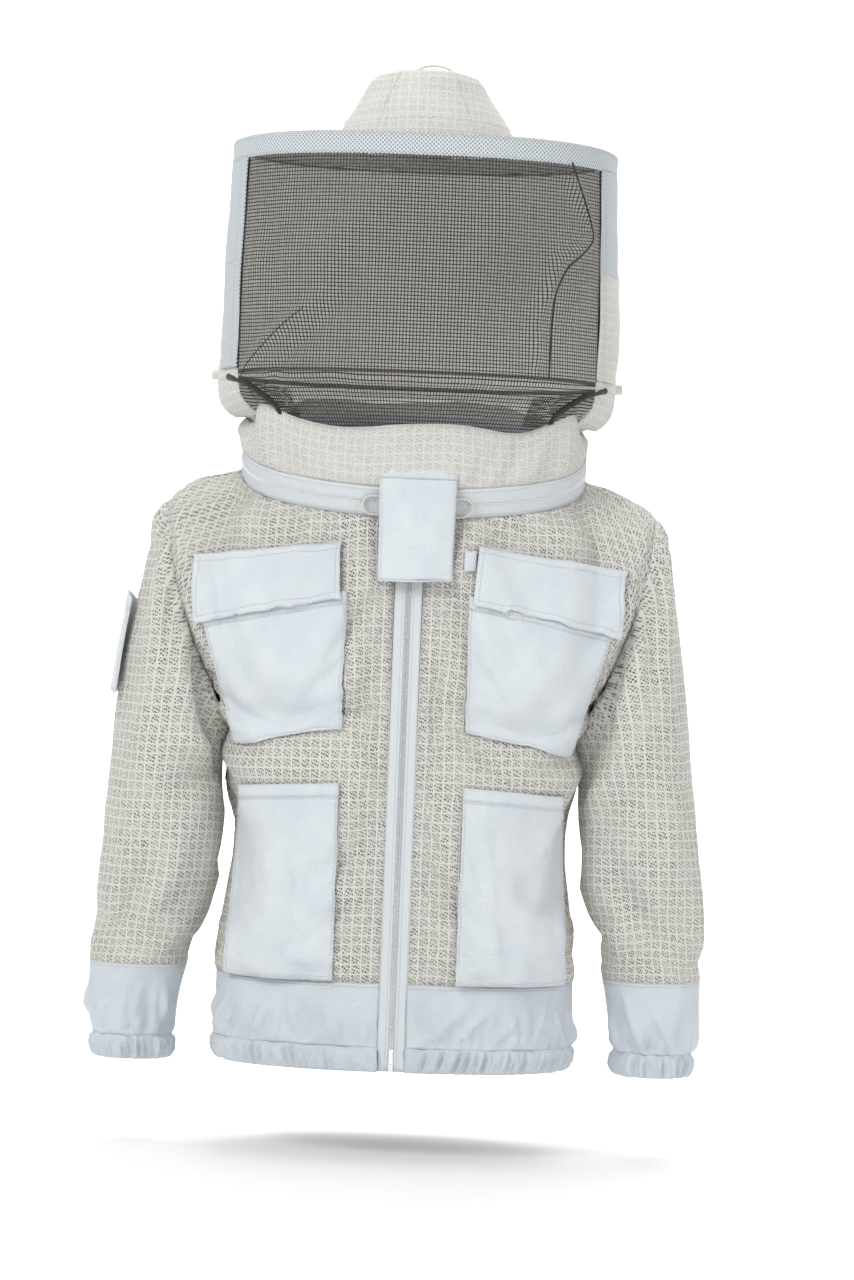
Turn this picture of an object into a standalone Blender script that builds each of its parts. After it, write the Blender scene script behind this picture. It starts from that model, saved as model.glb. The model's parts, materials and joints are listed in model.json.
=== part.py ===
"""Beekeeping jacket with a zip-off round hat-and-veil hood, 1.17 m from hem to hat loop.

Points are worked out in millimetres and turned into metres as each object is made.
+X is the wearer's left, -Y the front, +Z up, and the origin is the centre of the neck zip ring.
"""

import math

import bmesh
import bpy
import numpy as np
from mathutils import Matrix, Vector
from mathutils.bvhtree import BVHTree

MM = 0.001

# Cloth and webbing thickness
MESH_CLOTH, COTTON, TAPE, NET, ELASTIC = 3.0, 1.6, 1.0, 1.0, 1.5
SEAM = 1.0

# Neck zip ring, an oval tilted forward, with a true arc across the front
NECK_HALF, NECK_FRONT, NECK_BACK = 200.0, 154.0, 140.0
NECK_TILT = math.radians(20)
NECK_ARC, NECK_ARC_ANGLE = 285.0, math.radians(30)
ARC_SHARE = 0.55
TAPE_FROM, TAPE_TO = 3.0, 16.0
COIL_FROM, COIL_TO, COIL_HALF = 0.6, 2.6, 1.2

# Body
FRONT_Y, CENTRE_EDGE = -141.0, 16.0
CHEST_Z, WAISTBAND_Z, CASING_Z, HEM_Z = -290.0, -600.0, -672.0, -700.0
ARMHOLE_X, ARMHOLE_SWING, ARMHOLE_BOW = 248.0, 36.0, 14.0
ARMHOLE_MID_Z, ARMHOLE_HALF_Z = -167.0, 123.0
ARMHOLE_FRONT, ARMHOLE_BACK = 88.0, 80.0
BODY_POWER = 2 / 2.4
BODY_Z = (-700, -672, -600, -545, -490, -464, -430, -403, -376, -345, -290)
BODY_HALF = (203, 209, 208, 206, 198, 194, 193, 196, 204, 207, 212)
BACK_Z, BACK_Y = (-700, -600, -430, -290), (130, 125, 106, 120)
ZIP_TOP, ZIP_BOTTOM = -74.0, -690.0

# Sleeve rings: outer x, outer z, inner x, inner z, half depth
SLEEVE_RINGS = (
    (286, -44, 216, -290, 88), (305, -72, 216.5, -297, 88), (316, -115, 217, -305, 86),
    (324, -165, 217, -316, 83), (334, -232, 217, -336, 79), (342, -300, 217, -366, 75),
    (349, -380, 215, -405, 71), (355, -470, 218, -480, 68), (358, -540, 231, -545, 64),
    (357, -592, 243, -593, 60),
)
CUFF_RINGS = ((357, -595, 244, -596, 60), (356, -640, 252, -640, 57), (350, -675, 258, -675, 52))
CUFF_CASING_RINGS = ((350, -677, 258, -677, 50), (346, -705, 261, -705, 47))

# Hood sections by height, from the collar edge up to the brim
HOOD_Z = (20, 94, 220, 361)
HOOD_HALF, HOOD_FRONT, HOOD_BACK = (178, 226, 225, 220), (136, 200, 205, 208), (118, 165, 172, 178)
HOOD_POWER = 2 / 2.5
HOOP_Z, BRIM_Z, HOOD_TOP = 94.0, 362.0, 356.0
WINDOW_ANGLE = 64.0
COLLAR_TOP, COLLAR_RISE = 35.0, 45.0
CROWN_DEPTH, CROWN_Y = 16.0, -15.0
CROWN_PROFILE = ((454, 48), (450, 58), (440, 74), (425, 88), (405, 99), (386, 103))

# Flaps and pockets, as corners on the wearer's left: inner x, outer x, then the four heights
CHEST_POCKET = (70, 236, 70, 192, -155, -187, -311, -336)
CHEST_FLAP = (78, 250, 78, 246, -100, -121, -155, -184)
LOWER_POCKET = (70, 184, 70, 196, -373, -380, -598, -598)
HOOK_STRIP = (110, 180, 110, 178, -160, -166, -176, -182)
POCKET_LIFT, HOOK_LIFT, FLAP_LIFT = 3.2, 5.8, 8.8


# ---------------------------------------------------------------- scene helpers


def clear_scene():
    for item in list(bpy.data.objects):
        bpy.data.objects.remove(item, do_unlink=True)


def new_collection(name):
    collection = bpy.data.collections.new(name)
    bpy.context.scene.collection.children.link(collection)
    return collection


def material(name, colour, roughness, metallic=0.0):
    found = bpy.data.materials.get(name)
    if found:
        return found
    made = bpy.data.materials.new(name)
    made.use_nodes = True
    shader = made.node_tree.nodes["Principled BSDF"]
    linear = [(((colour >> shift) & 255) / 255) ** 2.2 for shift in (16, 8, 0)]
    shader.inputs["Base Color"].default_value = (*linear, 1)
    shader.inputs["Roughness"].default_value = roughness
    shader.inputs["Metallic"].default_value = metallic
    return made


def mesh_cloth():
    return material("ventilated_mesh_cloth", 0xCFCCC3, 0.9)


def cotton():
    return material("white_cotton", 0xDDE3E8, 0.85)


def zip_tape_cloth():
    return material("zip_tape_cloth", 0xEEF0F0, 0.8)


def zip_plastic():
    return material("zip_coil_nylon", 0xE8EAE8, 0.4)


def slider_metal():
    return material("slider_enamel", 0xE4E4E0, 0.3, 0.6)


def veil_net():
    return material("black_veil_net", 0x1E1C1A, 0.7)


def spacer_mesh():
    return material("white_spacer_mesh", 0xE6E9EA, 0.8)


def cord_white():
    return material("white_cord", 0xEDECE6, 0.8)


def elastic_band():
    return material("elastic_band", 0xE9E9E4, 0.8)


def black_binding():
    return material("black_binding", 0x2A2826, 0.85)


def hoop_plastic():
    return material("hoop_plastic", 0xEFEFEA, 0.4)


def wire_steel():
    return material("brim_wire_steel", 0xB8BABC, 0.35, 1.0)


def finish(obj, paint, smooth=True):
    PARTS.objects.link(obj)
    obj.data.materials.append(paint)
    if smooth and obj.type == "MESH":
        obj.data.polygons.foreach_set("use_smooth", [True] * len(obj.data.polygons))
    return obj


def shell(name, rows, thickness, paint, closed=False, outward=False, cap=False, origin=(0, 0, 0)):
    """A sheet through rows of points, listed downwards and to the wearer's left, made thick."""
    mesh = bpy.data.meshes.new(name)
    form = bmesh.new()
    verts = [[form.verts.new((Vector(p) - Vector(origin)) * MM) for p in row] for row in rows]
    width = len(rows[0])
    for upper, lower in zip(verts, verts[1:]):
        for c in range(width if closed else width - 1):
            d = (c + 1) % width
            form.faces.new((upper[c], lower[c], lower[d], upper[d]))
    if cap:
        form.faces.new(verts[0])
    form.to_mesh(mesh)
    form.free()
    obj = bpy.data.objects.new(name, mesh)
    obj.location = Vector(origin) * MM
    thick = obj.modifiers.new("thickness", "SOLIDIFY")
    thick.thickness = thickness * MM
    thick.offset = 1 if outward else -1
    return finish(obj, paint)


def mirrored(rows):
    return [[(-p[0], p[1], p[2]) for p in reversed(row)] for row in rows]


def sided(rows, side):
    return rows if side > 0 else mirrored(rows)


def tube(name, points, radius, paint, cyclic=False, origin=(0, 0, 0), resolution=2):
    curve = bpy.data.curves.new(name, "CURVE")
    curve.dimensions = "3D"
    spline = curve.splines.new("POLY")
    spline.points.add(len(points) - 1)
    for target, point in zip(spline.points, points):
        target.co = (*((Vector(point) - Vector(origin)) * MM), 1)
    spline.use_cyclic_u = cyclic
    curve.bevel_depth = radius * MM
    curve.bevel_resolution = resolution
    curve.use_fill_caps = True
    obj = bpy.data.objects.new(name, curve)
    obj.location = Vector(origin) * MM
    return finish(obj, paint)


def box(name, low, high, paint):
    mesh = bpy.data.meshes.new(name)
    form = bmesh.new()
    bmesh.ops.create_cube(form, size=1)
    size = Vector(high) - Vector(low)
    bmesh.ops.scale(form, vec=size * MM, verts=form.verts)
    form.to_mesh(mesh)
    form.free()
    obj = bpy.data.objects.new(name, mesh)
    obj.location = (Vector(high) + Vector(low)) / 2 * MM
    return finish(obj, paint, smooth=False)


def outline(name, loops, thickness, matrix, paint):
    """A flat 2D outline, with holes, made thick; matrix is in millimetres."""
    curve = bpy.data.curves.new(name, "CURVE")
    curve.dimensions = "2D"
    curve.fill_mode = "BOTH"
    curve.extrude = thickness / 2 * MM
    for loop in loops:
        spline = curve.splines.new("POLY")
        spline.points.add(len(loop) - 1)
        for target, (x, y) in zip(spline.points, loop):
            target.co = (x * MM, y * MM, 0, 1)
        spline.use_cyclic_u = True
    obj = bpy.data.objects.new(name, curve)
    obj.matrix_world = Matrix.Translation(matrix.translation * MM) @ matrix.to_3x3().to_4x4()
    return finish(obj, paint)


# ---------------------------------------------------------------- shape of the jacket


def spread(start, end, count):
    return np.linspace(start, end, count)


def neck_plane(turn):
    """A point of the neck oval in its own plane: turn 0 is the front, 1 the side, 2 the back."""
    if turn <= ARC_SHARE:
        angle = NECK_ARC_ANGLE * turn / ARC_SHARE
        return NECK_ARC * math.sin(angle), NECK_ARC - NECK_FRONT - NECK_ARC * math.cos(angle)
    if turn <= 1:
        u = (turn - ARC_SHARE) / (1 - ARC_SHARE)
        ax, ay = neck_plane(ARC_SHARE)
        bx, by = ax + 40 * math.cos(NECK_ARC_ANGLE), ay + 40 * math.sin(NECK_ARC_ANGLE)
        weights = ((1 - u) ** 3, 3 * u * (1 - u) ** 2, 3 * u * u * (1 - u), u**3)
        xs, ys = (ax, bx, NECK_HALF, NECK_HALF), (ay, by, -60, 0)
        return sum(w * x for w, x in zip(weights, xs)), sum(w * y for w, y in zip(weights, ys))
    angle = math.pi / 2 * (turn - 1)
    return NECK_HALF * math.cos(angle) ** 0.87, NECK_BACK * math.sin(angle) ** 0.87


def neck(turn, rise=0.0, out=0.0):
    """A point at the neck ring; rise is square to its plane and out is away from its middle."""
    side = 1 if turn <= 2 else -1
    half_turn = turn if turn <= 2 else 4 - turn
    x, b = neck_plane(half_turn)
    before, after = neck_plane(max(half_turn - 0.01, 0)), neck_plane(min(half_turn + 0.01, 2))
    tangent = Vector((after[0] - before[0], after[1] - before[1])).normalized()
    x, b = x + tangent.y * out, b - tangent.x * out
    if half_turn in (0, 2):
        x = 0
    sine, cosine = math.sin(NECK_TILT), math.cos(NECK_TILT)
    return side * x, b * cosine - rise * sine, b * sine + rise * cosine


def neck_turns():
    half = [*spread(0, ARC_SHARE, 9), *spread(ARC_SHARE, 1, 6)[1:], *spread(1, 2, 9)[1:]]
    return half + [4 - t for t in reversed(half[1:-1])]


def bow(value, power):
    return math.copysign(abs(value) ** power, value)


def body_section(z, angle):
    """Body outline at height z: angle 0 is centre front, 90 the wearer's left, 180 the back."""
    half = np.interp(z, BODY_Z, BODY_HALF)
    depth = -FRONT_Y if math.cos(angle) > 0 else np.interp(z, BACK_Z, BACK_Y)
    return half * bow(math.sin(angle), BODY_POWER), -depth * bow(math.cos(angle), BODY_POWER), z


def armhole(down, front):
    angle = math.pi * down
    depth = -ARMHOLE_FRONT if front else ARMHOLE_BACK
    x = ARMHOLE_X + ARMHOLE_SWING * math.cos(angle) + ARMHOLE_BOW * math.sin(angle) ** 2
    return x, depth * math.sin(angle), ARMHOLE_MID_Z + ARMHOLE_HALF_Z * math.cos(angle)


def shoulder(share):
    """The shoulder seam, from the neck zip out to the top of the armhole."""
    start, end = Vector(neck(1, -TAPE_TO - SEAM)), Vector(armhole(0, True))
    middle = Vector((250, 0, -14))
    return (1 - share) ** 2 * start + 2 * share * (1 - share) * middle + share**2 * end


def front_angle(across):
    start = math.asin((CENTRE_EDGE / 210) ** (1 / BODY_POWER))
    return start + (math.pi / 2 - start) * across


NECK_SHARE = 0.68
FRONT_START = ARC_SHARE * math.asin(CENTRE_EDGE / NECK_ARC) / NECK_ARC_ANGLE


def yoke(down, across, front):
    """The part of the body above the underarm: down 0..1 from neck to chest, across 0..1."""

    def top(t):
        if t >= NECK_SHARE:
            return Vector(shoulder((t - NECK_SHARE) / (1 - NECK_SHARE)))
        share = t / NECK_SHARE
        turn = FRONT_START + (1 - FRONT_START) * share if front else 2 - share
        return Vector(neck(turn, -TAPE_TO - SEAM))

    def bottom(t):
        return Vector(body_section(CHEST_Z, front_angle(t) if front else math.pi * (1 - t / 2)))

    def centre(s):
        bend = Vector((0, 0 if front else 16, 0)) * math.sin(math.pi * s)
        return top(0).lerp(bottom(0), s) + bend

    def side(s):
        return Vector(armhole(s, front))

    s, t = down, across
    ruled = top(t).lerp(bottom(t), s) + centre(s).lerp(side(s), t)
    corners = top(0).lerp(bottom(0), s).lerp(top(1).lerp(bottom(1), s), t)
    return tuple(ruled - corners)


def sleeve(rings, along, angle, side, out=0.0):
    """A point of the sleeve: angle 0 is its outer line, 90 the front; along counts rings."""
    low = min(int(along), len(rings) - 2)
    ring = np.array(rings[low]) + (np.array(rings[low + 1]) - np.array(rings[low])) * (along - low)
    outer, inner = Vector((ring[0], 0, ring[1])), Vector((ring[2], 0, ring[3]))
    middle, arm = (outer + inner) / 2, (outer - inner) / 2
    arm += arm.normalized() * out
    puff = ARMHOLE_BOW * max(0, 1 - along / 3) if rings is SLEEVE_RINGS else 0
    point = middle + arm * math.cos(angle)
    point += Vector((puff * math.sin(angle) ** 2, -(ring[4] + out) * math.sin(angle), 0))
    return side * point.x, point.y, point.z


def hood(angle_degrees, z, out=0.0):
    angle = math.radians(angle_degrees)
    half = np.interp(z, HOOD_Z, HOOD_HALF) + out
    depth = np.interp(z, HOOD_Z, HOOD_FRONT if math.cos(angle) > 0 else HOOD_BACK) + out
    return half * bow(math.sin(angle), HOOD_POWER), -depth * bow(math.cos(angle), HOOD_POWER), z


def collar_edge(angle_degrees):
    """Height of the seam between the collar and the veil, higher at the back."""
    back = (1 - math.cos(math.radians(angle_degrees))) / 2
    return COLLAR_TOP + COLLAR_RISE * back**3


# ---------------------------------------------------------------- body cloth


def front_panel(name, side):
    downs, acrosses = spread(0.012, 0.995, 8), spread(0, 0.992, 10)
    rows = [[yoke(s, t, True) for t in acrosses] for s in downs]
    for z in spread(CHEST_Z - 30, WAISTBAND_Z + SEAM, 7):
        rows.append([body_section(z, front_angle(t)) for t in acrosses])
    return shell(name, sided(rows, side), MESH_CLOTH, mesh_cloth())


def back_panel():
    downs, acrosses = spread(0.012, 0.995, 8), spread(0, 0.992, 9)
    halves = [[yoke(s, t, False) for t in acrosses] for s in downs]
    for z in spread(CHEST_Z - 30, WAISTBAND_Z + SEAM, 7):
        halves.append([body_section(z, math.pi * (1 - t / 2)) for t in acrosses])
    rows = [list(reversed(row)) + [(-x, y, z) for x, y, z in row[1:]] for row in halves]
    return shell("back_panel", rows, MESH_CLOTH, mesh_cloth())


def sleeve_rows(rings, steps, side, out=0.0):
    angles = spread(0, -2 * math.pi, 21)[:-1]
    rows = [[sleeve(rings, k, a, 1, out) for a in angles] for k in steps]
    return sided(rows, side)


def sleeve_piece(name, side):
    rows = sleeve_rows(SLEEVE_RINGS, range(len(SLEEVE_RINGS)), side)
    return shell(name, rows, MESH_CLOTH, mesh_cloth(), closed=True)


def cuff(tail, side):
    panel = sleeve_rows(CUFF_RINGS, range(len(CUFF_RINGS)), side)
    shell("cuff_" + tail, panel, COTTON, cotton(), closed=True)
    casing = sleeve_rows(CUFF_CASING_RINGS, (0, 1), side)
    shell("cuff_casing_" + tail, casing, COTTON, cotton(), closed=True)
    band = sleeve_rows(CUFF_CASING_RINGS, (0.12, 0.88), side, -3)
    shell("cuff_elastic_" + tail, band, ELASTIC, elastic_band(), closed=True)


def waistband():
    gap = 0.008
    heights = (WAISTBAND_Z - SEAM, (WAISTBAND_Z + CASING_Z) / 2, CASING_Z + SEAM)
    side_rows = [[body_section(z, front_angle(t)) for t in spread(0, 1 - gap, 9)] for z in heights]
    shell("waistband_left", side_rows, COTTON, cotton())
    shell("waistband_right", mirrored(side_rows), COTTON, cotton())
    angles = spread(math.pi / 2 + 0.01, math.pi * 1.5 - 0.01, 17)
    back_rows = [[body_section(z, a) for a in angles] for z in heights]
    shell("waistband_back", back_rows, COTTON, cotton())


def hem():
    start = front_angle(0)
    angles = spread(start, 2 * math.pi - start, 37)
    rows = [[body_section(z, a) for a in angles] for z in (CASING_Z, HEM_Z)]
    shell("hem_casing", rows, COTTON, cotton())
    inner = [[(p[0] * 0.985, p[1] * 0.975, z) for p in row] for row, z in
             zip(rows, (CASING_Z - 3, HEM_Z + 3))]
    shell("hem_elastic", inner, ELASTIC, elastic_band())


# ---------------------------------------------------------------- pockets and flaps


def surface_of(obj):
    """The obj's outer sheet, for laying other cloth on it."""
    points = [obj.matrix_world @ v.co for v in obj.data.vertices]
    return BVHTree.FromPolygons(points, [list(p.vertices) for p in obj.data.polygons])


def laid_rows(tree, corners, lift, columns, lines, side):
    """Rows of points on the front of the body, inside four corners given for the wearer's left."""
    top_in, top_out, low_in, low_out, z_top_in, z_top_out, z_low_in, z_low_out = corners
    rows = []
    for v in spread(0, 1, lines):
        row = []
        for u in spread(0, 1, columns):
            x = (top_in + (top_out - top_in) * u) * (1 - v) + (low_in + (low_out - low_in) * u) * v
            z = (z_top_in + (z_top_out - z_top_in) * u) * (1 - v)
            z += (z_low_in + (z_low_out - z_low_in) * u) * v
            start = Vector((side * x, -400, z)) * MM
            place, normal, _, _ = tree.ray_cast(start, Vector((0, 1, 0)))
            row.append(tuple(place / MM + normal * lift))
        rows.append(row if side > 0 else list(reversed(row)))
    return rows


def pockets(tail, side, tree):
    chest = laid_rows(tree, CHEST_POCKET, POCKET_LIFT, 12, 9, side)
    shell("chest_pocket_" + tail, chest, COTTON, cotton(), outward=True)
    lower = laid_rows(tree, LOWER_POCKET, POCKET_LIFT, 10, 9, side)
    shell("lower_pocket_" + tail, lower, COTTON, cotton(), outward=True)
    hook = laid_rows(tree, HOOK_STRIP, HOOK_LIFT, 5, 2, side)
    shell("hook_strip_" + tail, hook, TAPE, elastic_band(), outward=True)


def flap_middle(top_row):
    """The middle of the line along a flap's top edge that touches its most forward point."""
    first, last = Vector(top_row[0]), Vector(top_row[-1])
    along = (last - first).normalized()
    forward = Vector((0, -1, 0))
    forward -= along * forward.dot(along)
    reach = max(forward.dot(Vector(p) - first) for p in top_row)
    return first.lerp(last, 0.5) + forward.normalized() * reach / forward.length


def chest_flap(tail, side, tree):
    rows = laid_rows(tree, CHEST_FLAP, FLAP_LIFT, 12, 5, side)
    middle = flap_middle(rows[0])
    shell("chest_flap_" + tail, rows, COTTON, cotton(), outward=True, origin=middle)


def sleeve_pocket():
    angles = spread(math.radians(62), math.radians(-20), 7)
    rows = [[sleeve(SLEEVE_RINGS, k, a, -1, POCKET_LIFT) for a in angles] for k in spread(3, 4.7, 6)]
    shell("sleeve_pocket", rows, COTTON, cotton(), outward=True)


def side_tag(tree):
    rows = laid_rows(tree, (62, 76, 62, 76, -104, -104, -128, -128), POCKET_LIFT, 2, 3, 1)
    shell("side_tag", rows, TAPE, zip_tape_cloth(), outward=True)


# ---------------------------------------------------------------- front zip


def front_zip():
    for tail, side in (("left", 1), ("right", -1)):
        xs = sorted((side * 3.2, side * (CENTRE_EDGE - 2)))
        low, high = (xs[0], FRONT_Y, HEM_Z + 1), (xs[1], FRONT_Y + TAPE, ZIP_TOP + 2)
        box("zip_tape_" + tail, low, high, zip_tape_cloth())
        xs = sorted((side * COIL_FROM, side * COIL_TO))
        low, high = (xs[0], FRONT_Y - COIL_HALF, ZIP_BOTTOM), (xs[1], FRONT_Y + COIL_HALF, ZIP_TOP)
        box("zip_coil_" + tail, low, high, zip_plastic())
    box("zip_retainer_box", (-2.8, FRONT_Y - 3, HEM_Z), (2.8, FRONT_Y + 3, ZIP_BOTTOM - 0.5), zip_plastic())


PLATE_GAP, PLATE, PLATE_HALF, WEB = 1.8, 1.2, 4.5, 0.3
SLIDER_LENGTH = 13.0


def slider(name, matrix):
    """Two plates joined by a web that runs between the coils; local X spans the coils."""
    g, p, w, h = PLATE_GAP, PLATE_GAP + PLATE, PLATE_HALF, WEB
    section = ((-w, -p), (w, -p), (w, -g), (h, -g), (h, g), (w, g),
               (w, p), (-w, p), (-w, g), (-h, g), (-h, -g), (-w, -g))
    return outline(name, [section], SLIDER_LENGTH, matrix, slider_metal())


SLIDER_Z = ZIP_TOP - 9.0
PLATE_FACE = FRONT_Y - PLATE_GAP - PLATE
PULL_Y = PLATE_FACE - 1.6


def front_slider():
    slider("zip_slider", Matrix.Translation((0, FRONT_Y, SLIDER_Z)))
    arch = [(0, PLATE_FACE - 0.9 - 3.1 * math.sin(a), SLIDER_Z + 4 * math.cos(a)) for a in
            spread(0, math.pi, 9)]
    tube("zip_pull_bail", arch, 0.55, slider_metal(), resolution=1)
    ring = [(-3, 1), (3, 1), (3, -9), (2, -14), (-2, -14), (-3, -9)]
    hole = [(-2, -1), (-2, -7.5), (2, -7.5), (2, -1)]
    turned = Matrix.Translation((0, PULL_Y, SLIDER_Z)) @ Matrix.Rotation(math.pi / 2, 4, "X")
    outline("zip_pull_tab", [ring, hole], 1.2, turned, slider_metal())


# ---------------------------------------------------------------- neck zip


def neck_strip(name, rise_from, rise_to, out, thickness, paint):
    high, low = max(rise_from, rise_to), min(rise_from, rise_to)
    rows = [[neck(t, rise, out) for t in neck_turns()] for rise in (high, low)]
    return shell(name, rows, thickness, paint, closed=True)


def neck_zip():
    for tail, sign in (("upper", 1), ("lower", -1)):
        neck_strip("neck_zip_tape_" + tail, sign * TAPE_FROM, sign * TAPE_TO, 0.5, TAPE, zip_tape_cloth())
        neck_strip("neck_zip_coil_" + tail, sign * COIL_FROM, sign * COIL_TO, COIL_HALF,
                   2 * COIL_HALF, zip_plastic())


SLIDER_ANGLE = 3.6
LOOP_RADIUS = 1.5


def neck_slider(tail, side):
    turn = ARC_SHARE * math.radians(SLIDER_ANGLE) / NECK_ARC_ANGLE
    place = Vector(neck(turn))
    place.x *= side
    outward = Matrix.Rotation(side * math.radians(SLIDER_ANGLE), 3, "Z") @ Vector((0, -1, 0))
    tilt = Matrix.Rotation(NECK_TILT, 3, "X")
    outward, rise = tilt @ outward, tilt @ Vector((0, 0, 1))
    turned = Matrix((rise, outward, rise.cross(outward))).transposed().to_4x4()
    slider("neck_slider_" + tail, Matrix.Translation(place) @ turned)
    return place, outward


def pull_loop(tail, side, reach):
    """A cord knotted to the slider, lying out along the collar and back."""
    place, outward = neck_slider(tail, side)
    start = place + outward * (PLATE_GAP + PLATE + LOOP_RADIUS + 1.2)
    run = [(0, 0), (0.12, 4), (0.4, 8), (0.75, 10), (0.95, 6), (1, -1), (0.95, -8), (0.75, -13),
           (0.4, -12), (0.12, -7), (0, -4)]
    points = []
    for share, rise in run:
        x = start.x + side * reach * share
        back = (x * x - start.x**2) / (2 * NECK_ARC)
        points.append((x, start.y + back + 0.15 * rise * -1, start.z + rise))
    tube("neck_pull_loop_" + tail, points, LOOP_RADIUS, cord_white())


# ---------------------------------------------------------------- hood


def collar():
    rows = []
    for share in (1, 0.5, 0.02):
        row = []
        for turn in neck_turns():
            angle = 90 * turn
            top = Vector(hood(angle, collar_edge(angle) - SEAM))
            row.append(tuple(Vector(neck(turn, TAPE_TO + SEAM)).lerp(top, share)))
        rows.append(row)
    shell("collar", rows, MESH_CLOTH, mesh_cloth(), closed=True)


def hood_cloth(name, start, end, columns, thickness, paint):
    rows = []
    for share in spread(1, 0, 8):
        row = []
        for angle in spread(start, end, columns):
            low, z = collar_edge(angle) + 2.5 * SEAM, HOOP_Z
            z = low + (HOOP_Z - low) * share * 8 / 3 if share < 3 / 8 else None
            if z is None:
                z = HOOP_Z + (HOOD_TOP - HOOP_Z) * (share - 3 / 8) / (5 / 8)
            row.append(hood(angle, z))
        rows.append(row)
    return shell(name, rows, thickness, paint)


def hood_sides():
    hood_cloth("veil_net", -WINDOW_ANGLE, WINDOW_ANGLE, 19, NET, veil_net())
    hood_cloth("hood_back", WINDOW_ANGLE + 1, 359 - WINDOW_ANGLE, 27, COTTON, mesh_cloth())


def window_bands():
    top = [[hood(a, z, 1.2) for a in spread(-WINDOW_ANGLE - 6, WINDOW_ANGLE + 6, 21)] for z in (359, 336)]
    shell("window_band_top", top, COTTON, spacer_mesh(), outward=True)
    for tail, side in (("left", 1), ("right", -1)):
        angles = spread(WINDOW_ANGLE - 2, WINDOW_ANGLE + 6, 5)
        rows = [[hood(a, z, 1.2) for a in angles] for z in spread(334, HOOP_Z + 8, 5)]
        shell("window_band_" + tail, sided(rows, side), COTTON, spacer_mesh(), outward=True)


def bindings():
    for tail, side in (("left", 1), ("right", -1)):
        points = []
        for share in spread(0, 1, 7):
            angle = WINDOW_ANGLE + 3 - 27 * share
            x, y, z = hood(angle, 88 - 44 * share, 4.2)
            points.append((side * x, y, z))
        tube("veil_binding_" + tail, points, 2.4, black_binding(), resolution=1)


def hoops():
    ring = [hood(a, HOOP_Z, -11) for a in spread(0, 360, 37)[:-1]]
    tube("lower_hoop", ring, 2.6, hoop_plastic(), cyclic=True, resolution=1)
    for tail, side in (("left", 1), ("right", -1)):
        x = HOOD_HALF[1]
        tube("hoop_end_" + tail, [(side * (x + 2.5), 0, HOOP_Z), (side * (x + 14), 0, HOOP_Z)], 6,
             hoop_plastic())
    ring = [hood(a, BRIM_Z - 4.6, -8) for a in spread(0, 360, 37)[:-1]]
    tube("brim_wire", ring, 1.6, wire_steel(), cyclic=True, resolution=1)


def crown_ring(z, half, out=0.0):
    angles = spread(0, 2 * math.pi, 29)[:-1]
    wide, deep = half + out, half + CROWN_DEPTH + out
    return [(wide * math.sin(a), CROWN_Y - deep * math.cos(a), z) for a in angles]


def hat():
    angles = spread(0, 360, 29)[:-1]
    inner = crown_ring(384, 105)
    edge = [hood(a, 361, -2.5)[:2] + (BRIM_Z,) for a in angles]
    middle = [tuple(Vector(p).lerp(Vector(q), 0.5)) for p, q in zip(inner, edge)]
    shell("hat_brim", [inner, middle, edge], 2.5, mesh_cloth(), closed=True)
    rows = [crown_ring(z, half) for z, half in CROWN_PROFILE]
    shell("hat_crown", rows, MESH_CLOTH, mesh_cloth(), closed=True, cap=True)
    rows = [crown_ring(z, 103, -6) for z in (392, 372)]
    shell("hat_sweatband", rows, ELASTIC, elastic_band(), closed=True)
    arch = [(7 + 24 * math.cos(a), CROWN_Y, 456.4 + 6 * math.sin(a)) for a in spread(math.pi, 0, 11)]
    tube("hat_loop", arch, 1.6, cord_white())


def throat_flap():
    heights = ((-13, -154.2), (-24, -160), (-50, -163), (-90, -163), (-141, -161))
    rows = []
    for z, y in heights:
        rows.append([(x, y + (x - 6) ** 2 / 560, z) for x in spread(-38, 51, 7)])
    shell("throat_flap", rows, COTTON, cotton(), origin=(6, -154.2, -13))


# ---------------------------------------------------------------- the whole jacket

clear_scene()
PARTS = new_collection("beekeeping_jacket")
for TAIL, SIDE in (("left", 1), ("right", -1)):
    PANEL = surface_of(front_panel("front_panel_" + TAIL, SIDE))
    pockets(TAIL, SIDE, PANEL)
    chest_flap(TAIL, SIDE, PANEL)
    if SIDE > 0:
        side_tag(PANEL)
    sleeve_piece("sleeve_" + TAIL, SIDE)
    cuff(TAIL, SIDE)
back_panel()
sleeve_pocket()
waistband()
hem()
front_zip()
front_slider()
neck_zip()
pull_loop("left", 1, 52)
pull_loop("right", -1, 38)
collar()
hood_sides()
window_bands()
bindings()
hoops()
hat()
throat_flap()
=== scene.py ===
"""Looks of the beekeeping jacket: cloth, net, zips, cords and stitching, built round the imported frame."""

import json
import math

import bpy
import numpy as np
from mathutils import Matrix, Vector, noise
from mathutils.bvhtree import BVHTree

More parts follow.
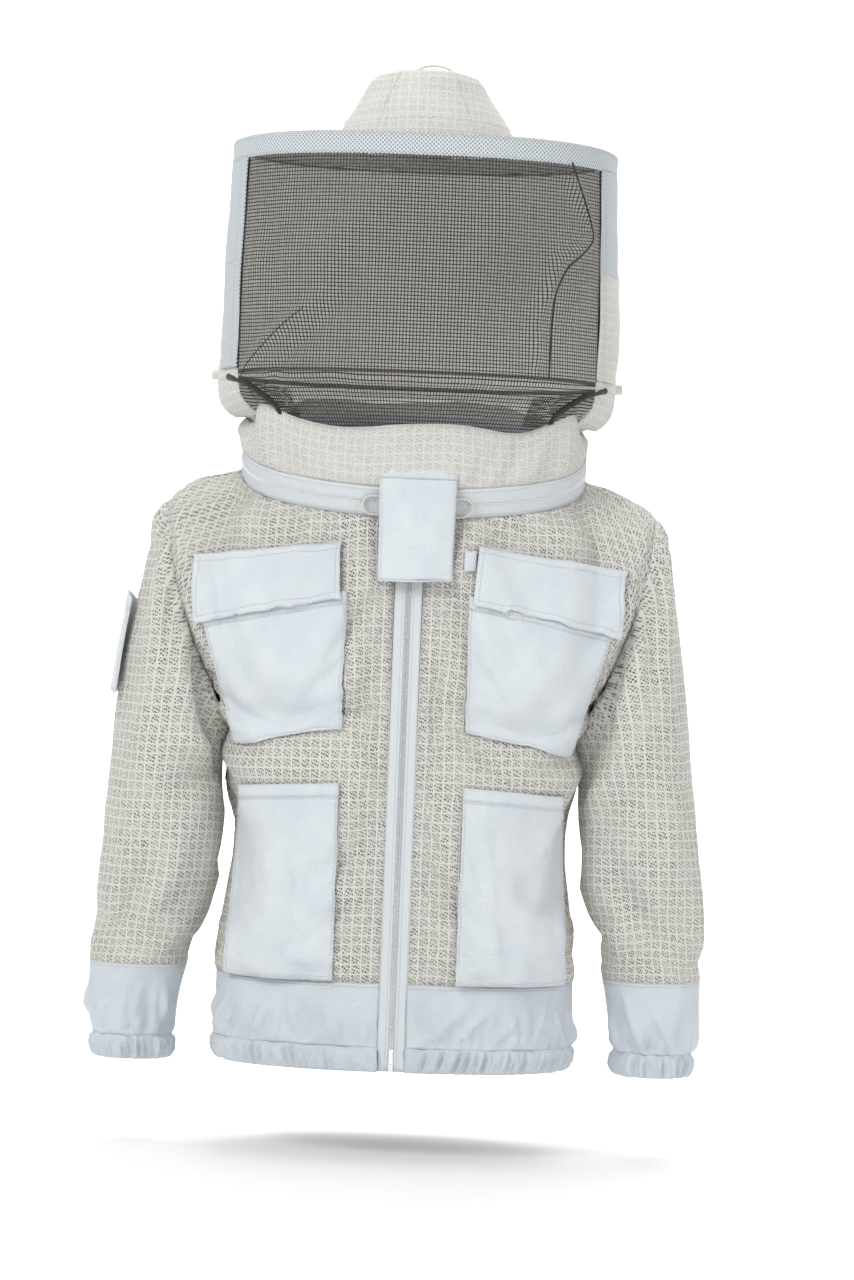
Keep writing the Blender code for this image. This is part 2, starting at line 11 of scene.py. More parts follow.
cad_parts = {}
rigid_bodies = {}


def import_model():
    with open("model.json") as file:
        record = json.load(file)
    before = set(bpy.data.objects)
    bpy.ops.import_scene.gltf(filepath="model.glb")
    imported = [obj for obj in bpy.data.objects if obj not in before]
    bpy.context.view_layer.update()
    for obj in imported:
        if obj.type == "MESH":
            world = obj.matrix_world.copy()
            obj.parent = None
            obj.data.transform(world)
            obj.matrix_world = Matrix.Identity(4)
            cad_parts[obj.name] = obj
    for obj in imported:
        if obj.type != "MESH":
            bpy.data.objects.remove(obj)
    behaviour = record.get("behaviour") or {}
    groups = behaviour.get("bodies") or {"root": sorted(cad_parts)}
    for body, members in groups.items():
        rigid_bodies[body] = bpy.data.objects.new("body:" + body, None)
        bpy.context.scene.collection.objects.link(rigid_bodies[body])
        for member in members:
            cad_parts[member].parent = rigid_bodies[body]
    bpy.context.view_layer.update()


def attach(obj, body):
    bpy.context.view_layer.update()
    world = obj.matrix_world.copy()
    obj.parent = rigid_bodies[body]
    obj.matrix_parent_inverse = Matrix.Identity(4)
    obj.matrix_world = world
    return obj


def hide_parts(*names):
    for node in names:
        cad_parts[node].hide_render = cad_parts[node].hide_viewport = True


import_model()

MM = 0.001


def new_piece(name, verts, faces, paint, body=None, nodes=(), smooth=False):
    """A mesh with its finish, riding on its body in place of the nodes that it stands for."""
    mesh = bpy.data.meshes.new(name)
    mesh.from_pydata(verts, [], faces)
    mesh.uv_layers.new(name="flat")
    mesh.polygons.foreach_set("use_smooth", [smooth] * len(faces))
    obj = bpy.data.objects.new(name, mesh)
    bpy.context.scene.collection.objects.link(obj)
    obj.data.materials.append(paint)
    if body:
        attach(obj, body)
    if nodes:
        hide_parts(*nodes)
    return obj


# ---------------------------------------------------------------- camera, light and floor

CAMERA_PLACE, CAMERA_ROLL = (0.023, -4.99, -0.207), math.radians(2.2)
LENS_MM, SENSOR_MM = 120, 36
ROOM_GLOW = 0.52
FLOOR_Z, FLOOR_REACH, WALL_START, WALL_BEND, WALL_HEIGHT = -0.80, 9.0, 7.0, 1.4, 7.0


def camera():
    """Level with the chest, five metres off, tilted a little as the jacket hangs a little out of true."""
    data = bpy.data.cameras.new("camera")
    data.lens, data.sensor_width = LENS_MM, SENSOR_MM
    eye = bpy.data.objects.new("camera", data)
    roll = Matrix.Rotation(CAMERA_ROLL, 4, "Z")
    level = Matrix.Rotation(math.pi / 2, 4, "X")
    eye.matrix_world = Matrix.Translation(CAMERA_PLACE) @ level @ roll
    bpy.context.scene.collection.objects.link(eye)
    bpy.context.scene.camera = eye


def lamp(name, place, aim, size, watts):
    data = bpy.data.lights.new(name, "AREA")
    data.size, data.energy = size, watts
    light = bpy.data.objects.new(name, data)
    light.location = place
    light.rotation_euler = (Vector(aim) - Vector(place)).to_track_quat("-Z", "Y").to_euler()
    bpy.context.scene.collection.objects.link(light)


def studio():
    lamp("key", (-1.9, -2.8, 1.9), (0, 0, -0.1), 1.6, 74)
    lamp("fill", (2.6, -2.4, 0.6), (0, 0, -0.2), 2.4, 30)
    lamp("rim", (0.4, 2.4, 1.8), (0, 0, 0), 2.2, 40)
    lamp("floor_glow", (0, 1.0, 2.6), (0, 3.8, 0.2), 3.0, 100)
    lamp("backdrop", (0, 4.6, 3.4), (0, 8.2, 0.4), 3.4, 230)
    world = bpy.data.worlds.new("white_room")
    world.use_nodes = True
    backdrop = world.node_tree.nodes["Background"]
    backdrop.inputs["Color"].default_value = (1, 1, 1, 1)
    backdrop.inputs["Strength"].default_value = ROOM_GLOW
    bpy.context.scene.world = world
    bpy.context.scene.view_settings.view_transform = "Standard"


def floor():
    """A pale floor that curves up behind into a wall."""
    angles = np.linspace(0, math.pi / 2, 12)
    bend = [(WALL_START + WALL_BEND * math.sin(a), WALL_BEND * (1 - math.cos(a))) for a in angles]
    line = [(-FLOOR_REACH, 0.0), *bend, (WALL_START + WALL_BEND, WALL_HEIGHT)]
    verts = [(x, y, z + FLOOR_Z) for y, z in line for x in (-FLOOR_REACH, FLOOR_REACH)]
    faces = [(2 * i, 2 * i + 1, 2 * i + 3, 2 * i + 2) for i in range(len(line) - 1)]
    obj = new_piece("studio_floor", verts, faces, studio_paper(), smooth=True)


# ---------------------------------------------------------------- materials


def linear(colour):
    """An sRGB hex colour as linear red, green, blue and alpha."""
    parts = [((colour >> shift) & 255) / 255 for shift in (16, 8, 0)]
    return (*(c / 12.92 if c <= 0.04045 else ((c + 0.055) / 1.055) ** 2.4 for c in parts), 1)


def add(tree, kind, inputs=(), **settings):
    """Adds a node. An input given a socket is linked to it, and any other value is set on it."""
    node = tree.nodes.new(kind)
    for key, value in settings.items():
        setattr(node, key, value)
    for key, value in dict(inputs).items():
        if isinstance(value, bpy.types.NodeSocket):
            tree.links.new(value, node.inputs[key])
        else:
            node.inputs[key].default_value = value
    return node


def new_material(name, roughness, sheen=0.0, metallic=0.0):
    made = bpy.data.materials.new(name)
    made.use_nodes = True
    shader = made.node_tree.nodes["Principled BSDF"]
    shader.inputs["Roughness"].default_value = roughness
    shader.inputs["Metallic"].default_value = metallic
    shader.inputs["Sheen Weight"].default_value = sheen
    shader.inputs["Sheen Roughness"].default_value = 0.5
    return made, made.node_tree, shader


def maths(tree, operation, first, second=0.0):
    return add(tree, "ShaderNodeMath", {0: first, 1: second}, operation=operation).outputs[0]


def ramp(tree, value, low, high):
    """0 below low, 1 above high, smooth between."""
    node = add(tree, "ShaderNodeMapRange", {"Value": value, "From Min": low, "From Max": high},
               interpolation_type="SMOOTHSTEP")
    return node.outputs["Result"]


def blend_colour(tree, share, first, second):
    node = add(tree, "ShaderNodeMix", {"Factor": share}, data_type="RGBA")
    for socket, value in ((node.inputs[6], first), (node.inputs[7], second)):
        if isinstance(value, bpy.types.NodeSocket):
            tree.links.new(value, socket)
        else:
            socket.default_value = value
    return node.outputs[2]


def set_colour(tree, shader, share, first, second):
    """Colours the material with the first hex colour where share is 0 and the second where it is 1."""
    base = blend_colour(tree, share, linear(first), linear(second))
    tree.links.new(base, shader.inputs["Base Color"])


def cloth_place(tree):
    """Metres along the cloth, across and down, from the piece's own flat lay."""
    return add(tree, "ShaderNodeUVMap", uv_map="flat").outputs["UV"]


def object_place(tree):
    return add(tree, "ShaderNodeTexCoord").outputs["Object"]


def turned(tree, place, degrees, per_metre, drawn_out=1.0):
    """The place turned and scaled; what is drawn from it comes out this many times as long."""
    turn = add(tree, "ShaderNodeMapping", {"Vector": place}, vector_type="POINT")
    turn.inputs["Rotation"].default_value = (0, 0, math.radians(degrees))
    scale = add(tree, "ShaderNodeMapping", {"Vector": turn.outputs["Vector"]}, vector_type="POINT")
    scale.inputs["Scale"].default_value = (per_metre, per_metre / drawn_out, per_metre)
    return scale.outputs["Vector"]


def set_relief(tree, shader, height, depth):
    bump = add(tree, "ShaderNodeBump", {"Height": height, "Strength": 1.0, "Distance": depth})
    tree.links.new(bump.outputs["Normal"], shader.inputs["Normal"])


CELL_MM, HOLE_MM = 11.0, 2.7
DIAMOND_MM, STRAND_MM, WALE_MM = 3.4, 1.2, 1.3
ONE_BAND = 0.16  # the wave texture's scale at which a band and the gap beside it are one unit wide each


def ventilated_mesh(name, ground=0xCCCBC4, rib=0xD2D1CA, hole=0x4C4841, depth=0.0005):
    """Three-layer polyester airmesh, warp knitted: cream ribs on an 11 mm square grid that
    stand out round cells of small slanting holes. The holes are painted dark, more in some soft
    patches than others, as painted shade where the layers below lie in shadow. It looks chalky
    and hardly shines."""
    made, tree, shader = new_material(name, 0.92, sheen=0.15)
    place = cloth_place(tree)
    cells = turned(tree, place, 0, 1000 / CELL_MM)
    parts = add(tree, "ShaderNodeSeparateXYZ", {"Vector": cells})
    nearest = []
    for axis in ("X", "Y"):
        share = maths(tree, "FRACT", parts.outputs[axis])
        nearest.append(maths(tree, "MINIMUM", share, maths(tree, "SUBTRACT", 1.0, share)))
    edge = maths(tree, "MINIMUM", *nearest)
    ribs = ramp(tree, edge, 0.13, 0.06)
    slant = turned(tree, place, 28, 1000 / HOLE_MM, 1.35)
    dots = add(tree, "ShaderNodeTexVoronoi", {"Vector": slant, "Scale": 1.0, "Randomness": 0.25})
    holes = ramp(tree, dots.outputs["Distance"], 0.43, 0.25)
    holes = maths(tree, "MULTIPLY", holes, maths(tree, "SUBTRACT", 1.0, ribs))
    soft = add(tree, "ShaderNodeTexNoise", {"Vector": place, "Scale": 26.0, "Detail": 3.0})
    patchy = ramp(tree, soft.outputs["Fac"], 0.3, 0.72)
    base = blend_colour(tree, ribs, linear(ground), linear(rib))
    # painted shade: the holes are darkened towards the hole colour, more in some soft patches than others
    shade = maths(tree, "ADD", 0.55, maths(tree, "MULTIPLY", patchy, 0.45))
    base = blend_colour(tree, maths(tree, "MULTIPLY", holes, shade), base, linear(hole))
    tree.links.new(base, shader.inputs["Base Color"])
    set_relief(tree, shader, maths(tree, "SUBTRACT", ribs, holes), depth)
    return made


def twill(name, colour=0xD2D8DC, shade=0xC0C7CD):
    """Bleached cotton twill, cool white and matt, over a faint uneven dye and pressing marks. Its
    diagonal wale, 0.6 mm apart on real twill, is drawn 1.3 mm wide and 2.6 mm apart so that it shows."""
    made, tree, shader = new_material(name, 0.82, sheen=0.2)
    place = cloth_place(tree)
    wale = add(tree, "ShaderNodeTexWave", {"Vector": turned(tree, place, 63, 1000 / WALE_MM),
               "Scale": ONE_BAND, "Distortion": 0.6, "Detail": 1.0}, bands_direction="X")
    soft = add(tree, "ShaderNodeTexNoise", {"Vector": place, "Scale": 18.0, "Detail": 4.0})
    yarn = add(tree, "ShaderNodeTexNoise", {"Vector": place, "Scale": 620.0, "Detail": 1.0})
    share = maths(tree, "MULTIPLY", ramp(tree, soft.outputs["Fac"], 0.3, 0.75), 0.5)
    fine = maths(tree, "MULTIPLY", wale.outputs["Fac"], 0.22)
    set_colour(tree, shader, maths(tree, "ADD", share, fine), colour, shade)
    height = maths(tree, "ADD", maths(tree, "MULTIPLY", wale.outputs["Fac"], 0.6), yarn.outputs["Fac"])
    set_relief(tree, shader, height, 0.00025)
    return made


def painted_glow_inside(name):
    """The hood cloth seen from inside, painted lighter and given a faint glow: painted light that stands in
    for daylight coming through the thin cloth.
    """
    made = ventilated_mesh(name, 0xDCDBD6, 0xE4E3DE, 0xB4B0A6, 0.0002)
    shader = made.node_tree.nodes["Principled BSDF"]
    # painted light: a faint glow that stands in for daylight coming through the cloth
    shader.inputs["Emission Color"].default_value = linear(0xE8E6DF)
    shader.inputs["Emission Strength"].default_value = 0.2
    return made


def knit_band(name):
    """White polyester spacer mesh: a flat cushion knit with rows of small diamond holes,
    3.4 mm apart, painted blue-grey as the shade inside them."""
    made, tree, shader = new_material(name, 0.8, sheen=0.1)
    place = cloth_place(tree)
    dots = add(tree, "ShaderNodeTexVoronoi", {"Vector": turned(tree, place, 45, 1000 / DIAMOND_MM),
               "Scale": 1.0, "Randomness": 0.0}, distance="MANHATTAN")
    holes = ramp(tree, dots.outputs["Distance"], 0.44, 0.3)
    # painted shade in the holes
    set_colour(tree, shader, holes, 0xCFD4D7, 0x7E8A96)
    set_relief(tree, shader, maths(tree, "SUBTRACT", 1.0, holes), 0.0007)
    return made


def woven_tape(name, colour, shade, rib_mm=1.6):
    """Narrow woven polyester, smooth and a little shiny, with fine ribs along its length."""
    made, tree, shader = new_material(name, 0.62, sheen=0.1)
    place = cloth_place(tree)
    ribs = add(tree, "ShaderNodeTexWave", {"Vector": turned(tree, place, 0, 1000 / rib_mm),
               "Scale": ONE_BAND}, bands_direction="X")
    set_colour(tree, shader, maths(tree, "MULTIPLY", ribs.outputs["Fac"], 0.5), colour, shade)
    set_relief(tree, shader, ribs.outputs["Fac"], 0.0002)
    return made


def net_yarn(name):
    """Black polyester monofilament net yarn, matt with a faint sheen; a little dust greys it."""
    made, tree, shader = new_material(name, 0.6, sheen=0.1)
    soft = add(tree, "ShaderNodeTexNoise", {"Vector": object_place(tree), "Scale": 60.0})
    set_colour(tree, shader, soft.outputs["Fac"], 0x0E0D0D, 0x242220)
    return made


def moulded(name, colour, shade, roughness, metallic=0.0):
    """Moulded nylon or PVC, enamelled zinc or drawn wire: smooth, with a faint mottle from handling."""
    made, tree, shader = new_material(name, roughness, metallic=metallic)
    soft = add(tree, "ShaderNodeTexNoise", {"Vector": object_place(tree), "Scale": 180.0, "Detail": 3.0})
    set_colour(tree, shader, soft.outputs["Fac"], colour, shade)
    set_relief(tree, shader, soft.outputs["Fac"], 0.00006)
    return made


def braid(name, colour, shade):
    """Braided polyester cord: crossing strands 1.2 mm wide, drawn as two sets of slanting bands, with
    painted shade in the grooves between them.
    """
    made, tree, shader = new_material(name, 0.75, sheen=0.2)
    place = cloth_place(tree)
    bands = []
    for angle in (40, -40):
        slant = turned(tree, place, angle, 1000 / STRAND_MM)
        wave = add(tree, "ShaderNodeTexWave", {"Vector": slant, "Scale": ONE_BAND})
        bands.append(wave.outputs["Fac"])
    both = maths(tree, "MULTIPLY", *bands)
    # painted shade: darker between the strands, lighter where they stand up
    set_colour(tree, shader, both, shade, colour)
    set_relief(tree, shader, both, 0.0003)
    return made


def studio_paper():
    """Matt white background paper."""
    made, tree, shader = new_material("background_paper", 0.95)
    soft = add(tree, "ShaderNodeTexNoise", {"Vector": object_place(tree), "Scale": 3.0})
    set_colour(tree, shader, maths(tree, "MULTIPLY", soft.outputs["Fac"], 0.2), 0xFCFCFC, 0xF6F6F6)
    return made


# The last colour of each airmesh is the painted shade in its holes.
AIRMESH = ventilated_mesh("cream_airmesh")
AIRMESH_THIN = ventilated_mesh("cream_airmesh_hood", 0xCAC9C4, 0xCDCCC7, 0xA5A299, 0.00015)
HOOD_INSIDE_PAINTED_LIGHT = painted_glow_inside("cream_airmesh_hood_inside_painted_light")
TWILL = twill("bleached_cotton_twill")
# Painted shade: a darker, greyer copy of the twill for the waistband, hem casing and cuffs, as less light
# reaches the lower parts.
TWILL_PAINTED_SHADE = twill("bleached_cotton_twill_painted_shade", 0xC9D0D6, 0xB4BCC4)
KNIT = knit_band("white_spacer_mesh")
TAPE_WHITE = woven_tape("white_zip_tape", 0xCDD2D5, 0xC3C9CD)
ELASTIC_WHITE = woven_tape("white_knit_elastic", 0xD5D5D0, 0xBCBCB6, 2.4)
NET_BLACK = net_yarn("black_net_yarn")
BIAS_BLACK = twill("black_bias_binding", 0x1B1A19, 0x33302D)
NYLON = moulded("white_nylon_coil", 0xEAECEE, 0xDFE2E5, 0.45)
ENAMEL = moulded("white_enamelled_zinc", 0xEDEDEA, 0xD8D8D4, 0.3)
HOOP_PVC = moulded("white_pvc_hoop", 0xDCDCD8, 0xCBCBC6, 0.4)
HOOP_GREY = moulded("pvc_hoop_under_net", 0x75726C, 0x827F78, 0.6)
WIRE = moulded("drawn_spring_wire", 0xB8BABC, 0xA0A2A4, 0.35, 1.0)
CORD_WHITE = braid("white_braided_cord", 0xE6E5E0, 0xC4C2BB)
THREAD = twill("white_sewing_thread", 0xD4D9DE, 0xC0C7CE)

# ---------------------------------------------------------------- shape of the jacket, in mm

NECK_HALF, NECK_FRONT, NECK_BACK = 200.0, 154.0, 140.0
NECK_TILT = math.radians(20)
NECK_ARC, NECK_ARC_ANGLE, ARC_SHARE = 285.0, math.radians(30), 0.55
FRONT_Y, CENTRE_EDGE = -141.0, 16.0
CHEST_Z, WAISTBAND_Z, CASING_Z, HEM_Z = -290.0, -600.0, -672.0, -700.0
BODY_POWER = 2 / 2.4
BODY_Z = (-700, -672, -600, -545, -490, -464, -430, -403, -376, -345, -290)
BODY_HALF = (203, 209, 208, 206, 198, 194, 193, 196, 204, 207, 212)
BACK_Z, BACK_Y = (-700, -600, -430, -290), (130, 125, 106, 120)
SLEEVE_RINGS = np.array((
    (287, -57, 216, -290, 88), (305, -72, 216.5, -297, 88), (316, -115, 217, -305, 86),
    (324, -165, 217, -316, 83), (334, -232, 217, -336, 79), (342, -300, 217, -366, 75),
    (349, -380, 215, -405, 71), (355, -470, 218, -480, 68), (358, -540, 231, -545, 64),
    (357, -594, 243, -595, 60),
))
CUFF_RINGS = np.array(((357, -594, 243, -595, 60), (356, -640, 252, -640, 57), (350, -677, 258, -677, 51)))
CASING_RINGS = np.array(((350, -677, 258, -677, 51), (346, -705, 261, -705, 47)))
HOOD_Z = (20, 94, 220, 361)
HOOD_HALF, HOOD_FRONT, HOOD_BACK = (178, 226, 225, 220), (136, 200, 205, 208), (118, 165, 172, 178)
HOOD_POWER = 2 / 2.5
HOOP_Z, BRIM_Z = 94.0, 362.0
WINDOW_ANGLE = 62.0


def neck_plane(turn):
    """A point of the neck oval in its own plane: turn 0 is the front, 1 the side, 2 the back."""
    if turn <= ARC_SHARE:
        angle = NECK_ARC_ANGLE * turn / ARC_SHARE
        return NECK_ARC * math.sin(angle), NECK_ARC - NECK_FRONT - NECK_ARC * math.cos(angle)
    if turn <= 1:
        u = (float(turn) - ARC_SHARE) / (1 - ARC_SHARE)
        ax, ay = neck_plane(ARC_SHARE)
        bx, by = ax + 40 * math.cos(NECK_ARC_ANGLE), ay + 40 * math.sin(NECK_ARC_ANGLE)
        weights = ((1 - u) ** 3, 3 * u * (1 - u) ** 2, 3 * u * u * (1 - u), u**3)
        xs, ys = (ax, bx, NECK_HALF, NECK_HALF), (ay, by, -60, 0)
        return sum(w * x for w, x in zip(weights, xs)), sum(w * y for w, y in zip(weights, ys))
    angle = math.pi / 2 * (turn - 1)
    return NECK_HALF * math.cos(angle) ** 0.87, NECK_BACK * math.sin(angle) ** 0.87


def neck(turn, rise=0.0, out=0.0):
    """A point at the neck ring; rise is square to its plane and out is away from its middle."""
    turn = turn % 4
    side, half_turn = (1, turn) if turn <= 2 else (-1, 4 - turn)
    x, b = neck_plane(half_turn)
    before, after = neck_plane(max(half_turn - 0.01, 0)), neck_plane(min(half_turn + 0.01, 2))
    tangent = Vector((after[0] - before[0], after[1] - before[1])).normalized()
    x, b = x + tangent.y * out, b - tangent.x * out
    sine, cosine = math.sin(NECK_TILT), math.cos(NECK_TILT)
    return side * x, b * cosine - rise * sine, b * sine + rise * cosine


def bow(value, power):
    return math.copysign(abs(value) ** power, value)


def body_section(z, angle):
    half = np.interp(z, BODY_Z, BODY_HALF)
    depth = -FRONT_Y if math.cos(angle) > 0 else np.interp(z, BACK_Z, BACK_Y)
    return half * bow(math.sin(angle), BODY_POWER), -depth * bow(math.cos(angle), BODY_POWER), z


def armhole(down, front):
    angle = math.pi * down
    x = 248 + 36 * math.cos(angle) + 14 * math.sin(angle) ** 2
    drop = 11 * max(0.0, math.cos(angle)) ** 4
    return x, (-88 if front else 80) * math.sin(angle), -167 + 123 * math.cos(angle) - drop


def front_angle(across):
    start = math.asin((CENTRE_EDGE / 210) ** (1 / BODY_POWER))
    return start + (math.pi / 2 - start) * across


NECK_SHARE = 0.68
FRONT_START = ARC_SHARE * math.asin(CENTRE_EDGE / NECK_ARC) / NECK_ARC_ANGLE


def yoke(s, t, front):
    """The body above the underarm: s 0..1 from neck to chest, t 0..1 from the middle to the side."""

    def top(t):
        if t >= NECK_SHARE:
            share = (t - NECK_SHARE) / (1 - NECK_SHARE)
            start, end = Vector(neck(1, -17)), Vector(armhole(0, True))
            shoulder = 2 * share * (1 - share) * Vector((248, 0, -24))
            return (1 - share) ** 2 * start + shoulder + share**2 * end
        share = t / NECK_SHARE
        return Vector(neck(FRONT_START + (1 - FRONT_START) * share if front else 2 - share, -17))

    def bottom(t):
        return Vector(body_section(CHEST_Z, front_angle(t) if front else math.pi * (1 - t / 2)))

    s, t = float(s), float(t)
    bend = Vector((0, 0 if front else 16, 0)) * math.sin(math.pi * s)
    ruled = top(t).lerp(bottom(t), s) + (top(0).lerp(bottom(0), s) + bend).lerp(Vector(armhole(s, front)), t)
    return tuple(ruled - top(0).lerp(bottom(0), s).lerp(top(1).lerp(bottom(1), s), t))


def sleeve_point(rings, along, angle, out=0.0):
    """A point of the left sleeve: angle 0 is its outer line, 90 the front; along counts rings."""
    low = min(int(along), len(rings) - 2)
    ring = rings[low] + (rings[low + 1] - rings[low]) * (along - low)
    outer, inner = Vector((ring[0], 0, ring[1])), Vector((ring[2], 0, ring[3]))
    middle, arm = (outer + inner) / 2, (outer - inner) / 2
    arm += arm.normalized() * out
    puff = 14 * max(0, 1 - along / 3) if len(rings) > 3 else 0
    depth = (ring[4] + out) * math.sin(angle)
    return middle + arm * math.cos(angle) + Vector((puff * math.sin(angle) ** 2, -depth, 0))


def hood_point(degrees, z, out=0.0):
    angle = math.radians(degrees)
    half = np.interp(z, HOOD_Z, HOOD_HALF) + out
    depth = np.interp(z, HOOD_Z, HOOD_FRONT if math.cos(angle) > 0 else HOOD_BACK) + out
    return half * bow(math.sin(angle), HOOD_POWER), -depth * bow(math.cos(angle), HOOD_POWER), z


def collar_edge(degrees):
    """Height of the seam between the collar and the veil, higher at the back."""
    return 35.0 + 45.0 * ((1 - math.cos(math.radians(degrees))) / 2) ** 3


# ---------------------------------------------------------------- making cloth


def grid_of(rows):
    """Rows of points in mm, listed downwards and to the wearer's left, as an array in metres."""
    return np.array([[tuple(p) for p in row] for row in rows], float) * MM


def flipped(grid):
    """The same piece for the wearer's right."""
    return grid[:, ::-1] * np.array((-1, 1, 1))


def unit(vectors):
    """The vectors made one long."""
    return vectors / (np.linalg.norm(vectors, axis=-1, keepdims=True) + 1e-12)


def normals(grid, closed=False):
    down = np.gradient(grid, axis=0)
    across = np.roll(grid, -1, 1) - np.roll(grid, 1, 1) if closed else np.gradient(grid, axis=1)
    return unit(np.cross(down, across))


def from_sides(columns):
    """How many columns each one is from the nearer side of its piece."""
    middle = (columns - 1) / 2
    return middle - abs(np.arange(columns) - middle)


def summed(across, down):
    """Steps across each row and down each column, added up from 0."""
    u = np.concatenate([np.zeros((len(across), 1)), np.cumsum(across, axis=1)], axis=1)
    v = np.concatenate([np.zeros((1, down.shape[1])), np.cumsum(down, axis=0)], axis=0)
    return u, v


def flat_lay(grid, closed=False):
    """Metres along the cloth, across and down, at each point, with one more column if closed."""
    ring = np.concatenate([grid, grid[:, :1]], axis=1) if closed else grid
    across = np.linalg.norm(np.diff(ring, axis=1), axis=2)
    down = np.linalg.norm(np.diff(ring, axis=0), axis=2)
    u, v = summed(across, down)
    return np.stack([u - u[:, u.shape[1] // 2][:, None], -v], axis=2)


def grain_lay(grid, anchor, closed=False):
    """As flat_lay, with the cloth's grain plumb below the anchor column and level at the foot."""
    ring = np.concatenate([grid, grid[:, :1]], axis=1) if closed else grid
    across = np.linalg.norm(np.diff(ring, axis=1)[..., :2], axis=2)
    down = np.linalg.norm(np.diff(ring, axis=0)[..., 1:], axis=2)
    u, v = summed(across, down)
    return np.stack([u - u[:, anchor][:, None], v[-1] - v], axis=2)


def noise_over(flat, across_m, down_m, seed):
    """Smooth noise from -1 to 1 over the cloth, with features of these sizes."""
    rows = [[noise.noise(Vector((u / across_m, v / down_m, seed))) for u, v in row] for row in flat]
    return np.array(rows)


def corners(values):
    """The four values round each cell of a grid."""
    around = (values[:-1, :-1], values[1:, :-1], values[1:, 1:], values[:-1, 1:])
    return np.stack(around, axis=2)


def numbered(grid):
    """The number of each of the grid's points."""
    rows, columns = grid.shape[:2]
    return np.arange(rows * columns).reshape(rows, columns)


def cloth(name, grid, flat, paint, body, nodes=(), closed=False, thick=1.2, outward=False):
    """A piece of cloth over the grid of points, laid out flat as given, riding on body."""
    index = numbered(grid)
    if closed:
        index = np.concatenate([index, index[:, :1]], axis=1)
    faces = corners(index).reshape(-1, 4).tolist()
    obj = new_piece(name, grid.reshape(-1, 3).tolist(), faces, paint, body, nodes, smooth=True)
    layer = obj.data.uv_layers["flat"]
    layer.data.foreach_set("uv", corners(flat[:, : index.shape[1]]).reshape(-1))
    if thick:
        wall = obj.modifiers.new("cloth_thickness", "SOLIDIFY")
        wall.thickness, wall.offset = thick * MM, 1 if outward else -1
    return obj


def held_edges(grid, closed=False, rows=1, columns=1):
    """Which points the seams hold: all of the first and last rows, and of the sides if open."""
    held = np.zeros(grid.shape[:2])
    held[:rows], held[-rows:] = 1, 1
    if not closed and columns:
        held[:, :columns], held[:, -columns:] = 1, 1
    return held


HANG_FRAMES, HANG_GRAVITY = 12, 0.3


def crumple(grid, held, closed=False, spare=0.05, most=9.0, bend=3.0):
    """Simulates the cloth with a share of spare length between the seams that hold it, so that
    it buckles and hangs. No point moves more than most mm."""
    columns = grid.shape[1]
    flat = flat_lay(grid, closed)
    wave = noise_over(flat[:, :columns], 0.05, 0.08, 4.2)[..., None]
    start = grid + normals(grid, closed) * wave * 2 * MM * (1 - held[..., None])
    obj = cloth("cloth_being_hung", start, flat, TWILL, None, closed=closed, thick=0)
    pins = obj.vertex_groups.new(name="seams")
    for index, value in enumerate(held.reshape(-1)):
        if value > 0:
            pins.add([index], float(value), "REPLACE")
    modifier = obj.modifiers.new("hang", "CLOTH")
    cloth_set = modifier.settings
    cloth_set.vertex_group_mass = "seams"
    cloth_set.quality, cloth_set.mass = 5, 0.25
    cloth_set.tension_stiffness = cloth_set.compression_stiffness = 15
    cloth_set.shear_stiffness, cloth_set.bending_stiffness = 6, bend
    cloth_set.shrink_min = -spare
    cloth_set.effector_weights.gravity = HANG_GRAVITY
    modifier.collision_settings.use_collision = False
    modifier.point_cache.frame_end = HANG_FRAMES
    for number in range(1, HANG_FRAMES + 1):
        bpy.context.scene.frame_set(number)
    hung = obj.evaluated_get(bpy.context.evaluated_depsgraph_get()).to_mesh()
    points = np.empty(len(hung.vertices) * 3)
    hung.vertices.foreach_get("co", points)
    bpy.data.objects.remove(obj)
    bpy.context.scene.frame_set(1)
    moved = points.reshape(grid.shape) - grid
    length = np.linalg.norm(moved, axis=2, keepdims=True)
    return grid + moved * np.minimum(1, most * MM / (length + 1e-9))


def folds(grid, flat, creases, closed=False):
    """Presses soft ridges (height over 0) and valleys into the cloth. Each crease is its two
    ends as shares (across, down) of the piece, its width in mm and its height in mm."""
    rows, columns = grid.shape[:2]
    across, down = np.meshgrid(np.linspace(0, 1, columns), np.linspace(0, 1, rows))
    span = np.array((np.ptp(flat[..., 0]), np.ptp(flat[..., 1])))
    place = np.stack([across, down], axis=2) * span
    push = np.zeros((rows, columns))
    for a, b, width, height in creases:
        first, last = np.array(a) * span, np.array(b) * span
        line = last - first
        share = np.clip(((place - first) @ line) / (line @ line), 0, 1)
        gap = np.linalg.norm(place - first - share[..., None] * line, axis=2)
        ends = np.sin(np.pi * np.clip(share, 0.06, 0.94)) ** 0.7
        push += 1.5 * height * ends * np.exp(-((gap / (width * MM)) ** 2))
    return grid + normals(grid, closed) * push[..., None] * MM


# ---------------------------------------------------------------- seams, cords and zips


def run_along(points):
    """How far along the line each of its points is."""
    return np.concatenate([[0], np.cumsum(np.linalg.norm(np.diff(points, axis=0), axis=1))])


def along_line(points, spacing):
    """Points every spacing metres along a line, with the line's direction at each."""
    points = np.array(points, float)
    run = run_along(points)

    def at(distances):
        return np.stack([np.interp(distances, run, points[:, k]) for k in range(3)], axis=1)

    near = 0.5 * MM
    places = np.arange(spacing / 2, run[-1], spacing)
    return at(places), unit(at(places + near) - at(places - near))


def level_out(places):
    """The level direction away from the jacket's upright middle line, at each place."""
    return unit(places * np.array((1, 1, 0.0)))


